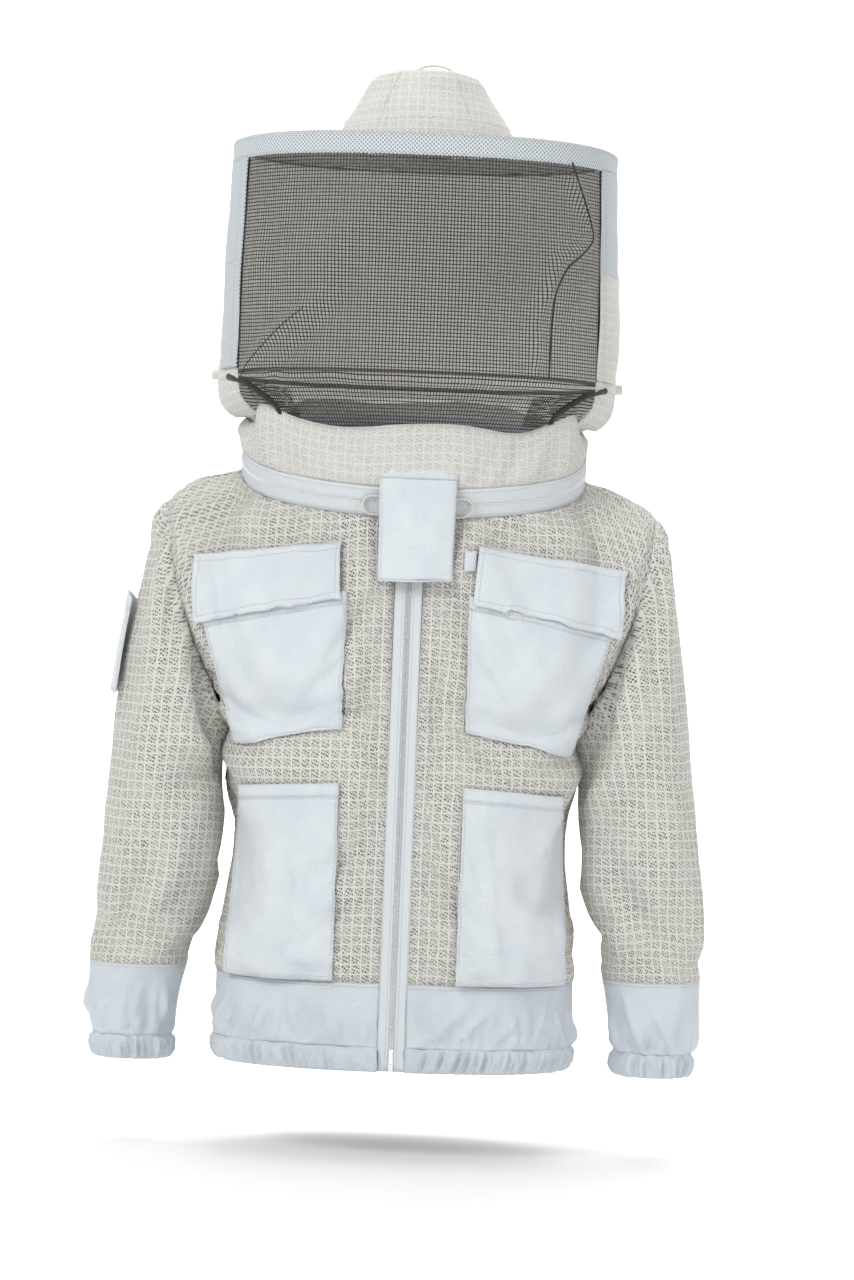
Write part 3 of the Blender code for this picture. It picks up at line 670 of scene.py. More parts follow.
def beads(name, places, ways, faces_out, size, paint, body, nodes=()):
    """Many small rounded bars in one piece: size is along, across and height, in mm."""
    ring = [(-0.5, 0.0, 0.1), (-0.32, 0.5, 0.1), (0.32, 0.5, 0.1), (0.5, 0.0, 0.1), (0.32, -0.5, 0.1),
            (-0.32, -0.5, 0.1), (-0.22, 0.2, 1.0), (0.22, 0.2, 1.0), (0.22, -0.2, 1.0), (-0.22, -0.2, 1.0)]
    sides = [(0, 1, 6), (1, 2, 7, 6), (2, 3, 7), (3, 4, 8, 7), (4, 5, 9, 8), (5, 0, 6, 9), (6, 7, 8, 9),
             (5, 4, 3, 2, 1, 0)]
    form = np.array(ring) * np.array(size) * MM
    ways, faces_out = (np.broadcast_to(v, places.shape) for v in (ways, faces_out))
    across = unit(np.cross(faces_out, ways))
    verts = (places[:, None] + form[None, :, :1] * ways[:, None] + form[None, :, 1:2] * across[:, None]
             + form[None, :, 2:] * faces_out[:, None])
    count = len(ring)
    faces = [tuple(count * i + k for k in side) for i in range(len(places)) for side in sides]
    return new_piece(name, verts.reshape(-1, 3).tolist(), faces, paint, body, nodes)


def picked(grid, values, across, down):
    """A value of the grid at shares across and down it, between its points."""
    rows, columns = grid.shape[:2]
    r, c = down * (rows - 1), across * (columns - 1)
    r0, c0 = min(int(r), rows - 2), min(int(c), columns - 2)
    fr, fc = r - r0, c - c0
    top = values[r0, c0] * (1 - fc) + values[r0, c0 + 1] * fc
    low = values[r0 + 1, c0] * (1 - fc) + values[r0 + 1, c0 + 1] * fc
    return top * (1 - fr) + low * fr


STITCH_PITCH = 3.4
ZIP_STITCH, COIL_TURN, COIL_PITCH = (2.4, 0.7, 0.5), (3.0, 1.3, 1.0), 2.0


def sewn(name, grid, runs, body, height=0.35, pitch=STITCH_PITCH, closed=False):
    """Rows of stitches over a piece. Each run is a list of (across, down) shares of it."""
    out = normals(grid, closed)
    places, ways, faces = [], [], []
    for run in runs:
        line, face = [], []
        for (a0, d0), (a1, d1) in zip(run, run[1:]):
            for share in np.linspace(0, 1, 40):
                a, d = a0 + (a1 - a0) * share, d0 + (d1 - d0) * share
                normal = picked(grid, out, a, d)
                line.append(picked(grid, grid, a, d) + normal * height * MM)
                face.append(normal)
        found, way = along_line(line, pitch * MM)
        nearest = np.linspace(0, len(face) - 1, len(found)).astype(int)
        places.append(found)
        ways.append(way)
        faces.append(np.array(face)[nearest])
    stitch = (pitch * 0.68, 0.7, 0.45)
    beads(name, np.concatenate(places), np.concatenate(ways), np.concatenate(faces), stitch, THREAD, body)


def cord_piece(name, points, diameter, body, nodes):
    """A braided cord along smooth points in mm, made as a mesh tube with its own flat lay."""
    smooth = np.array(points, float) * MM
    for _ in range(2):
        middle = (smooth[:-1] + smooth[1:]) / 2
        inner = np.repeat(middle, 2, axis=0)[:-1].copy()
        inner[1::2] = smooth[1:-1] * 0.75 + (smooth[:-2] + smooth[2:]) * 0.125
        smooth = np.concatenate([smooth[:1], inner, smooth[-1:]])
    way = unit(np.gradient(smooth, axis=0))
    side = unit(np.cross(way, (0.0, -0.94, 0.34)))
    other = np.cross(way, side)
    angles = np.linspace(0, -2 * math.pi, 11)[:-1]
    lines = [smooth + (math.cos(a) * side + math.sin(a) * other) * diameter / 2 * MM for a in angles]
    grid = np.stack(lines, axis=1)
    obj = cloth(name, grid, flat_lay(grid, True), CORD_WHITE, body, nodes, closed=True, thick=0)


# ---------------------------------------------------------------- body of the jacket

AIRMESH_MM = 2.4
FRONT_CREASES = {
    1: (((0.55, 0.50), (1.0, 0.44), 16, 5), ((0.45, 0.56), (1.0, 0.53), 14, -5),
        ((0.5, 0.6), (1.0, 0.58), 15, 4), ((0.86, 0.22), (0.62, 0.42), 16, 4),
        ((0.95, 0.30), (0.74, 0.46), 13, -4), ((0.3, 0.04), (0.75, 0.15), 18, 3),
        ((0.1, 0.3), (0.12, 0.9), 14, 2), ((0.2, 0.06), (0.55, 0.02), 12, -3)),
    -1: (((0.45, 0.50), (0.0, 0.46), 15, 5), ((0.5, 0.55), (0.0, 0.52), 14, -5),
         ((0.55, 0.59), (0.0, 0.57), 16, 4), ((0.14, 0.22), (0.4, 0.42), 16, 4),
         ((0.06, 0.34), (0.3, 0.47), 13, -4), ((0.7, 0.04), (0.3, 0.13), 18, 3),
         ((0.88, 0.3), (0.9, 0.9), 14, 2)),
}


def body_grid(front, columns, upper, lower):
    """The body from the neck zip down to the waistband, from the middle out to the side seam."""
    acrosses = np.linspace(0, 1, columns)
    rows = [[yoke(s, t, front) for t in acrosses] for s in np.linspace(0, 1, upper)]
    for z in np.linspace(CHEST_Z, WAISTBAND_Z, lower + 1)[1:]:
        rows.append([body_section(z, front_angle(t) if front else math.pi * (1 - t / 2)) for t in acrosses])
    return grid_of(rows)


def front_panel(tail, side):
    grid = body_grid(True, 40, 32, 34)
    grid = grid if side > 0 else flipped(grid)
    flat = grain_lay(grid, 0 if side > 0 else -1)
    shaped = folds(grid, flat, FRONT_CREASES[side])
    hung = crumple(shaped, held_edges(grid, columns=2), spare=0.06, most=9, bend=2.0)
    hung[0], hung[-1] = grid[0], grid[-1]
    obj = cloth("front_panel_cloth_" + tail, hung, flat, AIRMESH, "jacket", ["front_panel_" + tail],
                thick=AIRMESH_MM)
    return hung


def back_panel():
    half = body_grid(False, 34, 30, 32)
    grid = np.concatenate([half[:, ::-1], (half * np.array((-1, 1, 1)))[:, 1:]], axis=1)
    flat = grain_lay(grid, 33)
    creases = (((0.2, 0.28), (0.8, 0.3), 26, 5), ((0.08, 0.42), (0.42, 0.5), 18, 6),
               ((0.92, 0.42), (0.58, 0.5), 18, 6), ((0.1, 0.55), (0.5, 0.62), 17, -6),
               ((0.9, 0.55), (0.5, 0.6), 17, -5), ((0.2, 0.7), (0.8, 0.68), 22, 5),
               ((0.3, 0.8), (0.7, 0.84), 18, -4), ((0.5, 0.05), (0.48, 0.3), 20, 3))
    shaped = folds(grid, flat, creases)
    hung = crumple(shaped, held_edges(grid), spare=0.05, most=10, bend=2.5)
    obj = cloth("back_panel_cloth", hung, flat, AIRMESH, "jacket", ["back_panel"], thick=AIRMESH_MM)


def gathers(grid, flat, across_mm, down_mm, seed, closed=False):
    """Smooth noise over the piece, with features of these sizes, that meets itself round a closed one."""
    if not closed:
        return noise_over(flat, across_mm * MM, down_mm * MM, seed)
    columns = grid.shape[1]
    reach = np.ptp(flat[0, :, 0]) / (across_mm * MM * 2 * math.pi)
    angles = np.linspace(0, 2 * math.pi, columns + 1)[:-1]

    def at(angle, v):
        place = (reach * math.cos(angle), reach * math.sin(angle), seed * 9.1 + v / (down_mm * MM))
        return noise.noise(Vector(place))

    return np.array([[at(a, v) for a, v in zip(angles, row[:, 1])] for row in flat])


def gathered(grid, flat, depth_top, depth_foot, pitch_mm, seed, closed=False):
    """Puckers pulled up by elastic: rounded, uneven and deeper towards the foot of the piece."""
    wave = gathers(grid, flat, pitch_mm, 90, seed, closed)
    wave = np.sin(wave * 5.2 + 0.6 * gathers(grid, flat, 50, 200, seed + 7, closed))
    fall = np.linspace(0, 1, len(grid))[:, None]
    depth = (depth_top + (depth_foot - depth_top) * fall**1.3) * np.clip((1 - fall) * 6, 0, 1) ** 0.6
    puckers = gathers(grid, flat, 9, 60, seed + 11, closed) * 8 * fall**3 * np.clip((1 - fall) * 9, 0, 1)
    return grid + normals(grid, closed) * (wave * depth + puckers)[..., None] * MM


def waist_grid(start, end, columns, heights):
    return grid_of([[body_section(z, a) for a in np.linspace(start, end, columns)] for z in heights])


def waistband():
    front = front_angle(0)
    heights = np.linspace(WAISTBAND_Z, CASING_Z, 30)
    spans = (("left", front, math.pi / 2, 150), ("back", math.pi / 2, math.pi * 1.5, 260),
             ("right", math.pi * 1.5, 2 * math.pi - front, 150))
    for tail, start, end, columns in spans:
        grid = waist_grid(start, end, columns, heights)
        flat = flat_lay(grid)
        flat[..., 0] += start * 0.2
        leaning = (((0.05, 0.95), (0.2, 0.3), 6, 4), ((0.16, 0.95), (0.28, 0.4), 5, 3.4),
                   ((0.3, 0.95), (0.42, 0.45), 6, 4), ((0.5, 0.95), (0.6, 0.3), 6, 4),
                   ((0.62, 0.95), (0.64, 0.5), 5, 3), ((0.76, 0.95), (0.68, 0.4), 6, 3.6),
                   ((0.9, 0.95), (0.82, 0.35), 6, 4))
        loose = gathered(folds(grid, flat, leaning), flat, 0.3, 4.8, 30, 2.0)
        obj = cloth("waistband_cloth_" + tail, loose, flat, TWILL_PAINTED_SHADE, "jacket", ["waistband_" + tail])
        sewn("waistband_stitching_" + tail, loose, [[(0.0, 0.06), (1.0, 0.06)]], "jacket")


def puffed_casing(name, grid_at, body, node, closed, seed, pitch=10):
    """An elastic casing: a tunnel of cotton drawn into small deep gathers, held flat at its neck."""
    lines = np.linspace(0, 1, 20)
    grid = grid_at(lines)
    flat = flat_lay(grid, closed)
    belly = np.sin(np.pi * np.clip(lines, 0, 1)) ** 0.6
    wave = gathers(grid, flat, pitch, 100, seed, closed)
    ridge = (1 - np.abs(wave) * 2.6) * (0.35 + 0.65 * belly[:, None])
    small = gathers(grid, flat, 5, 12, seed + 3, closed)
    push = 7.6 * ridge + 0.8 * small + 1.2 * belly[:, None] - 1.2
    push = np.maximum(push, -1.6) * np.clip(lines * 6, 0, 1)[:, None]
    full = grid + normals(grid, closed) * push[..., None] * MM
    obj = cloth(name, full, flat, TWILL_PAINTED_SHADE, body, [node], closed=closed)


def hem():
    front = front_angle(0)

    def lines_of(shares):
        return waist_grid(front, 2 * math.pi - front, 640, CASING_Z + (HEM_Z - CASING_Z) * shares)

    puffed_casing("hem_casing_cloth", lines_of, "jacket", "hem_casing", False, 5.0)


# ---------------------------------------------------------------- sleeves and cuffs

SLEEVE_CREASES = {
    1: (((0.20, 0.10), (0.05, 0.46), 16, 8), ((0.12, 0.16), (0.0, 0.40), 11, -8),
        ((0.34, 0.14), (0.24, 0.52), 17, 6), ((0.28, 0.12), (0.14, 0.50), 12, -7),
        ((0.46, 0.12), (0.38, 0.4), 20, 4), ((0.30, 0.50), (0.14, 0.62), 15, 6),
        ((0.36, 0.57), (0.16, 0.70), 13, -6), ((0.44, 0.6), (0.30, 0.86), 18, 5),
        ((0.22, 0.7), (0.34, 0.93), 16, -5), ((0.50, 0.62), (0.52, 0.97), 15, 3),
        ((0.7, 0.3), (0.85, 0.6), 20, 6), ((0.8, 0.55), (0.95, 0.7), 16, -6)),
    -1: (((0.80, 0.12), (0.95, 0.44), 16, 7), ((0.88, 0.2), (1.0, 0.42), 11, -7),
         ((0.68, 0.14), (0.74, 0.5), 18, 5), ((0.74, 0.2), (0.86, 0.52), 12, -6),
         ((0.84, 0.46), (0.66, 0.58), 15, 7), ((0.88, 0.54), (0.7, 0.66), 13, -7),
         ((0.62, 0.5), (0.72, 0.8), 20, 4), ((0.78, 0.68), (0.66, 0.92), 16, 5),
         ((0.7, 0.7), (0.56, 0.95), 14, -4), ((0.5, 0.25), (0.46, 0.7), 18, 3),
         ((0.3, 0.3), (0.15, 0.6), 20, 6), ((0.2, 0.55), (0.05, 0.7), 16, -6)),
}


def sleeve_grid(rings, steps, columns, side, out=0.0):
    angles = np.radians(np.linspace(200, -160, columns + 1)[:-1])
    rows = [[sleeve_point(rings, k, a, out) for a in angles] for k in steps]
    if rings is SLEEVE_RINGS:
        rows[0] = [armhole(math.acos(math.cos(a)) / math.pi, math.sin(a) > 0) for a in angles]
    grid = grid_of(rows)
    return grid if side > 0 else flipped(grid)


def sleeve(tail, side):
    """A sleeve of 78 rows and 60 columns, fuller on its inner side and calm just above the cuff."""
    rows, columns = 78, 60
    steps = np.linspace(0, len(SLEEVE_RINGS) - 1, rows)
    grid = sleeve_grid(SLEEVE_RINGS, steps, columns, side)
    fullness = np.sin(np.pi * np.clip((steps - 1.2) / 6.8, 0, 1))
    inward = np.clip(-np.cos(np.radians(np.linspace(200, -160, columns + 1)[:-1])), 0, 1)
    grid[..., 0] -= side * 15 * MM * np.outer(fullness, inward if side > 0 else inward[::-1])
    flat = grain_lay(grid, 22 if side > 0 else 38, True)
    shaped = folds(grid, flat[:, :columns], SLEEVE_CREASES[side], True)
    hung = crumple(shaped, held_edges(grid, True), True, spare=0.05, most=10, bend=2.0)
    calm = np.clip((rows - 1 - np.arange(rows)) / 9, 0, 1)[:, None, None]
    hung = grid + (hung - grid) * calm
    hung[0] = grid[0]
    obj = cloth("sleeve_cloth_" + tail, hung, flat, AIRMESH, "jacket", ["sleeve_" + tail], closed=True,
                thick=AIRMESH_MM)


def cuff(tail, side):
    columns = 150
    grid = sleeve_grid(CUFF_RINGS, np.linspace(0, 2, 30), columns, side)
    flat = flat_lay(grid, True)
    creases = (((0.2, 0.15), (0.27, 0.98), 6, 5), ((0.40, 0.1), (0.33, 0.98), 6, 4.4),
               ((0.5, 0.25), (0.44, 0.98), 5, 4), ((0.3, 0.3), (0.38, 0.98), 5, 4),
               ((0.1, 0.3), (0.16, 0.98), 6, 4), ((0.8, 0.2), (0.86, 0.98), 6, 4),
               ((0.62, 0.2), (0.57, 0.98), 6, 4.4), ((0.72, 0.3), (0.68, 0.98), 5, 3.6))
    creased = folds(grid, flat[:, :columns], creases, True)
    loose = gathered(creased, flat, 0.2, 4.2, 24, 8.0 + side, True)
    obj = cloth("cuff_cloth_" + tail, loose, flat, TWILL_PAINTED_SHADE, "jacket", ["cuff_" + tail], closed=True)
    sewn("cuff_stitching_" + tail, loose, [[(0.0, 0.04), (1.0, 0.04)]], "jacket", closed=True)

    def lines_of(shares):
        return sleeve_grid(CASING_RINGS, shares, 230, side)

    puffed_casing("cuff_casing_cloth_" + tail, lines_of, "jacket", "cuff_casing_" + tail, True, 15.0 + side,
                  pitch=8)


def elastics():
    for tail, side in (("left", 1), ("right", -1)):
        grid = sleeve_grid(CASING_RINGS, np.linspace(0.12, 0.88, 4), 60, side, -3.2)
        cloth("cuff_elastic_band_" + tail, grid, flat_lay(grid, True), ELASTIC_WHITE, "jacket",
              ["cuff_elastic_" + tail], closed=True)
    front = front_angle(0)
    grid = waist_grid(front, 2 * math.pi - front, 160, np.linspace(CASING_Z - 3, HEM_Z + 3, 4))
    grid *= np.array((0.985, 0.975, 1))
    cloth("hem_elastic_band", grid, flat_lay(grid), ELASTIC_WHITE, "jacket", ["hem_elastic"])


# ---------------------------------------------------------------- pockets, flaps and tag

CHEST_POCKET = (70, 236, 70, 192, -155, -187, -311, -336)
CHEST_FLAP = (76, 250, 74, 244, -100, -121, -166, -198)
LOWER_POCKET = (70, 184, 70, 196, -373, -380, -598, -598)
HOOK_STRIP = (110, 180, 110, 178, -160, -166, -176, -182)
SIDE_TAG = (62, 76, 62, 76, -104, -104, -128, -128)
POCKET_LIFT, HOOK_LIFT, TAG_LIFT, FLAP_LIFT = 3.2, 4.7, 3.0, 7.0


def surface_of(grid):
    faces = corners(numbered(grid)).reshape(-1, 4)
    return BVHTree.FromPolygons(grid.reshape(-1, 3).tolist(), faces.tolist())


def softened(depth, passes):
    """The values averaged with their neighbours, as stiff cloth bridges small hollows."""
    for _ in range(passes):
        wide = np.pad(depth, 1, mode="edge")
        depth = (wide[:-2, 1:-1] + wide[2:, 1:-1] + wide[1:-1, :-2] + wide[1:-1, 2:]) / 4
    return depth


def laid(surface, outline, lift, columns, lines, side, rounded=0.0):
    """A piece lying on the front of the body, inside four corners given for the wearer's left.
    rounded is the share of its size that its lower outer corner is rounded by."""
    top_in, top_out, low_in, low_out, z_top_in, z_top_out, z_low_in, z_low_out = outline
    u, v = np.meshgrid(np.linspace(0, 1, columns), np.linspace(0, 1, lines))
    if rounded:
        a = np.clip((u - 1 + rounded) / rounded, 0, 1)
        b = np.clip((v - 1 + rounded) / rounded, 0, 1)
        u = np.where((a > 0) & (b > 0), 1 - rounded + rounded * a * np.sqrt(1 - b * b / 2), u)
        v = np.where((a > 0) & (b > 0), 1 - rounded + rounded * b * np.sqrt(1 - a * a / 2), v)
    xs = (top_in + (top_out - top_in) * u) * (1 - v) + (low_in + (low_out - low_in) * u) * v
    zs = (z_top_in + (z_top_out - z_top_in) * u) * (1 - v) + (z_low_in + (z_low_out - z_low_in) * u) * v
    depth, last = np.zeros(xs.shape), FRONT_Y * MM
    for index in np.ndindex(xs.shape):
        start = Vector((side * xs[index], -400, zs[index])) * MM
        place = surface.ray_cast(start, Vector((0, 1, 0)))[0]
        last = place.y if place else last
        depth[index] = last
    smooth = softened(np.minimum(softened(depth, 12), depth), 2)
    grid = np.stack([side * xs * MM, np.minimum(smooth, depth), zs * MM], axis=2)
    grid = grid if side > 0 else grid[:, ::-1]
    return grid + normals(grid) * lift * MM


def turned_hem(name, grid, rows, body):
    """The hem of a piece, folded over: a second thickness on its first rows."""
    strip = grid[:rows] + normals(grid)[:rows] * 0.7 * MM
    cloth(name, strip, flat_lay(strip), TWILL, body, outward=True, thick=0.9)


POCKET_CREASES = {
    ("chest", 1): (((0.1, 0.35), (0.6, 0.95), 12, 2.2), ((0.75, 0.2), (0.45, 0.75), 14, 2.4),
                   ((0.3, 0.1), (0.2, 0.9), 12, -1.6), ((0.95, 0.5), (0.6, 0.9), 10, 2.2)),
    ("chest", -1): (((0.9, 0.3), (0.45, 0.9), 12, 2.4), ((0.25, 0.25), (0.6, 0.8), 14, 2.2),
                    ((0.7, 0.1), (0.8, 0.9), 12, -1.6), ((0.05, 0.5), (0.4, 0.85), 10, 2.2)),
    ("lower", 1): (((0.25, 0.1), (0.35, 0.95), 14, 2.4), ((0.8, 0.15), (0.6, 0.9), 16, 2.6),
                   ((0.5, 0.3), (0.48, 0.9), 12, -2), ((0.1, 0.85), (0.9, 0.9), 12, 1.8)),
    ("lower", -1): (((0.7, 0.1), (0.62, 0.95), 14, 2.4), ((0.2, 0.15), (0.4, 0.9), 16, 2.6),
                    ((0.5, 0.3), (0.55, 0.9), 12, -2), ((0.1, 0.9), (0.9, 0.86), 12, 1.8)),
}


def pocket(kind, tail, side, surface, outline, rounded):
    """A patch pocket: a hemmed mouth, and a bag stitched on round its other three sides."""
    grid = laid(surface, outline, POCKET_LIFT, 44, 46, side, rounded)
    flat = flat_lay(grid)
    shaped = folds(grid, flat, POCKET_CREASES[kind, side])
    bag = crumple(shaped, held_edges(grid, columns=1), spare=0.015, most=2.6, bend=8.0)
    bag[..., 1] = np.minimum(bag[..., 1], grid[..., 1] + 0.8 * MM)
    obj = cloth(f"{kind}_pocket_cloth_{tail}", bag, flat, TWILL, "jacket", [f"{kind}_pocket_{tail}"],
                outward=True, thick=1.0)
    hem_row = 5 if kind == "chest" else 4
    turned_hem(f"{kind}_pocket_hem_{tail}", bag, hem_row, "jacket")
    share = (hem_row - 0.6) / (len(bag) - 1)
    near, far = 0.022, 0.978
    runs = [[(near, 0.0), (near, far), (far, far), (far, 0.0)], [(0.0, share), (1.0, share)]]
    sewn(f"{kind}_pocket_stitching_{tail}", bag, runs, "jacket", height=1.4)


def chest_flap(tail, side, surface):
    """The chest flap, sewn along its top edge and hanging a little free of the pocket."""
    grid = laid(surface, CHEST_FLAP, FLAP_LIFT, 44, 18, side)
    down = np.linspace(0, 1, len(grid))[:, None]
    flat = flat_lay(grid)
    wave = noise_over(flat, 0.05, 0.2, 31.0 + side)
    loose = grid + normals(grid) * (down**1.4 * (2.6 + 3.2 * wave))[..., None] * MM
    loose[0] = grid[0] - normals(grid)[0] * 2.4 * MM
    body = "pocket_flap_" + tail
    obj = cloth("chest_flap_cloth_" + tail, loose, flat, TWILL, body, ["chest_flap_" + tail], outward=True,
                thick=1.6)
    low, side_in, side_out = 0.9, 0.03, 0.97
    runs = [[(side_in, 0.05), (side_in, low), (side_out, low), (side_out, 0.05)], [(0.0, 0.12), (1.0, 0.12)]]
    sewn("chest_flap_stitching_" + tail, loose, runs, body, height=1.9)


def pockets(tail, side, panel):
    surface = surface_of(panel)
    pocket("chest", tail, side, surface, CHEST_POCKET, 0.08)
    pocket("lower", tail, side, surface, LOWER_POCKET, 0.04)
    hook = laid(surface, HOOK_STRIP, HOOK_LIFT, 16, 4, side)
    obj = cloth("hook_strip_cloth_" + tail, hook, flat_lay(hook), TAPE_WHITE, "jacket",
                ["hook_strip_" + tail], outward=True, thick=0.6)
    chest_flap(tail, side, surface)
    if side > 0:
        tag = laid(surface, SIDE_TAG, TAG_LIFT, 6, 10, 1)
        cloth("side_tag_cloth", tag, flat_lay(tag), TAPE_WHITE, "jacket", ["side_tag"], outward=True,
              thick=0.8)
        sewn("side_tag_stitching", tag, [[(0.1, 0.06), (0.9, 0.06)]], "jacket", height=1.0, pitch=2.6)


def armhole_seam(tail, side, panel):
    """The row of stitches that holds down the armhole seam on the front."""
    share = 0.972 if side > 0 else 0.028
    sewn("armhole_stitching_" + tail, panel, [[(share, 0.06), (share, 0.46)]], "jacket", height=0.2)


def sleeve_pocket():
    """The small pocket on the wearer's right sleeve, standing a little off it."""
    angles = np.radians(np.linspace(-40, 30, 24))
    steps = np.linspace(3, 4.7, 26)
    grid = flipped(grid_of([[sleeve_point(SLEEVE_RINGS, k, a, 4.0) for a in angles[::-1]] for k in steps]))
    flat = flat_lay(grid)
    wave = noise_over(flat, 0.04, 0.07, 51.0)
    bag = grid + normals(grid) * (1.4 * wave + 1.0)[..., None] * MM
    cloth("sleeve_pocket_cloth", bag, flat, TWILL, "jacket", ["sleeve_pocket"], outward=True, thick=1.0)
    turned_hem("sleeve_pocket_hem", bag, 4, "jacket")
    runs = [[(0.03, 0.0), (0.03, 0.97), (0.97, 0.97), (0.97, 0.0)], [(0.0, 0.14), (1.0, 0.14)]]
    sewn("sleeve_pocket_stitching", bag, runs, "jacket", height=1.5)


# ---------------------------------------------------------------- zips


def front_zip():
    """Two tapes with a nylon coil on each, its turns 2 mm apart and set between each other's."""
    heights = np.linspace(-72, HEM_Z + 1, 90)
    across, forward = (1.0, 0.0, 0.0), (0.0, -1.0, 0.0)
    for tail, side in (("left", 1), ("right", -1)):
        grid = grid_of([[(side * x, FRONT_Y - 0.1, z) for x in np.linspace(2.2, 15.6, 7)] for z in heights])
        grid = grid if side > 0 else grid[:, ::-1]
        obj = cloth("zip_tape_cloth_" + tail, grid, flat_lay(grid), TAPE_WHITE, "jacket",
                    ["zip_tape_" + tail])
        shift = 0.0 if side > 0 else COIL_PITCH / 2
        line = [(side * 1.3 * MM, (FRONT_Y - 0.6) * MM, (z - shift) * MM) for z in (-74.5, -689.0)]
        places, _ = along_line(line, COIL_PITCH * MM)
        obj = beads("zip_coil_turns_" + tail, places, across, forward, COIL_TURN, NYLON, "jacket",
                    ["zip_coil_" + tail])
        line = [(side * 6.4 * MM, (FRONT_Y - 0.1) * MM, z * MM) for z in (-75, -696)]
        places, ways = along_line(line, STITCH_PITCH * MM)
        beads("zip_stitching_" + tail, places, ways, forward, ZIP_STITCH, THREAD, "jacket")


def front_edge(tail, side, panel):
    """The row of stitches that holds the panel's front edge down beside the zip."""
    share = 0.035 if side > 0 else 0.965
    sewn("front_edge_stitching_" + tail, panel, [[(share, 0.0), (share, 1.0)]], "jacket", height=0.3)


def neck_zip():
    """The round zip that holds the hood: smooth white tapes either side of a coil."""
    turns = [k * 4 / 280 for k in range(280)]
    tilt = (0.0, -math.sin(NECK_TILT), math.cos(NECK_TILT))
    for tail, sign, body in (("upper", 1, "hood"), ("lower", -1, "jacket")):
        rises = (17.4, 13, 8, 4, 0.05) if sign > 0 else (-0.05, -4, -8, -13, -17.4)
        grid = grid_of([[neck(t, rise, 0.9) for t in turns] for rise in rises])
        obj = cloth("neck_zip_tape_cloth_" + tail, grid, flat_lay(grid, True), TAPE_WHITE, body,
                    ["neck_zip_tape_" + tail], closed=True)
        ring = [np.array(neck(t, sign * 1.3, 0.9)) * MM for t in turns + [0.0]]
        places, ways = along_line(ring, COIL_PITCH * MM)
        if sign < 0:
            places = places + ways * MM
        obj = beads("neck_zip_coil_turns_" + tail, places, tilt, level_out(places), COIL_TURN, NYLON, body,
                    ["neck_zip_coil_" + tail])
        ring = [np.array(neck(t, sign * 13.6, 1.1)) * MM for t in turns + [0.0]]
        places, ways = along_line(ring, STITCH_PITCH * MM)
        beads("neck_zip_stitching_" + tail, places, ways, level_out(places), ZIP_STITCH, THREAD, body)


def moulded_parts():
    """The sliders, pulls, stops and hoops keep the shape they were drawn with, and take a finish."""
    finishes = {
        "zip_slider": ENAMEL, "zip_pull_bail": ENAMEL, "zip_pull_tab": ENAMEL, "zip_retainer_box": NYLON,
        "neck_slider_left": ENAMEL, "neck_slider_right": ENAMEL, "hoop_end_left": HOOP_PVC,
        "hoop_end_right": HOOP_PVC, "lower_hoop": HOOP_GREY, "brim_wire": WIRE,
    }
    for name, finish in finishes.items():
        for obj in bpy.data.objects:
            if obj.name == name or obj.name.startswith(name + "."):
                for place in obj.material_slots:
                    place.material = finish


PULL_RUN = ((0, 0), (0.12, 4), (0.4, 8), (0.75, 10), (0.95, 6), (1, -1), (0.95, -8), (0.75, -13), (0.4, -12),
            (0.12, -7), (0, -4))


SLIDER_ANGLE = math.radians(3.6)


def pull_loop(tail, side, reach):
    """A loop of cord tied to a neck slider, lying out along the collar and back."""
    place = Vector(neck(ARC_SHARE * SLIDER_ANGLE / NECK_ARC_ANGLE))
    place.x *= side
    outward = Matrix.Rotation(side * SLIDER_ANGLE, 3, "Z") @ Vector((0, -1, 0))
    outward = Matrix.Rotation(NECK_TILT, 3, "X") @ outward
    start = place + outward * 5.7
    points = []
    for share, rise in PULL_RUN:
        x = start.x + side * reach * share
        back = (x * x - start.x**2) / (2 * NECK_ARC)
        points.append((x, start.y + back - 0.15 * rise, start.z + rise))
    cord_piece("pull_cord_" + tail, points, 3.0, "neck_runner_" + tail, ["neck_pull_loop_" + tail])


CROWN_TOP, HAT_Y = 449.4, -15


def hat_loop():
    angles = np.linspace(math.pi, 0, 11)
    points = [(7 + 24 * math.cos(a), HAT_Y, CROWN_TOP + 13 * math.sin(a)) for a in angles]
    cord_piece("hat_loop_cord", points, 3.2, "hood", ["hat_loop"])


# ---------------------------------------------------------------- hood


def collar():
    """The gathered collar between the neck zip and the veil. Its top edge waves, and stands
    highest where the black bindings come down to it."""
    turns = [2 + k * 4 / 320 for k in range(320)]
    rows = []
    for share in np.linspace(1, 0, 18):
        row = []
        for turn in turns:
            degrees = 90 * (turn % 4)
            from_front = min(degrees, 360 - degrees)
            peak = 20 * math.exp(-(((from_front - 57) / 13) ** 2))
            ruffle = peak + 3.5 * math.sin(math.radians(degrees * 7 + 40))
            top = Vector(hood_point(degrees, collar_edge(degrees) + ruffle, 2.5))
            row.append(tuple(Vector(neck(turn, 17.0)).lerp(top, share)))
        rows.append(row)
    grid = grid_of(rows)
    flat = flat_lay(grid, True)
    share = np.linspace(1, 0, 18)[:, None]
    wide = gathers(grid, flat, 34, 90, 3.0, True)
    fine = gathers(grid, flat, 15, 60, 6.0, True)
    push = (5.5 * wide + 3.0 * fine) * (0.35 + 0.65 * np.sin(np.pi * np.clip(share * 0.8 + 0.1, 0, 1)))
    push += 5 * np.sin(np.pi * share) ** 0.8
    full = grid + normals(grid, True) * push[..., None] * MM
    full[-1] = grid[-1]
    obj = cloth("collar_cloth", full, flat, AIRMESH_THIN, "hood", ["collar"], closed=True, thick=1.8)
    sewn("collar_stitching", full, [[(0.0, 0.05), (1.0, 0.05)]], "hood", closed=True)


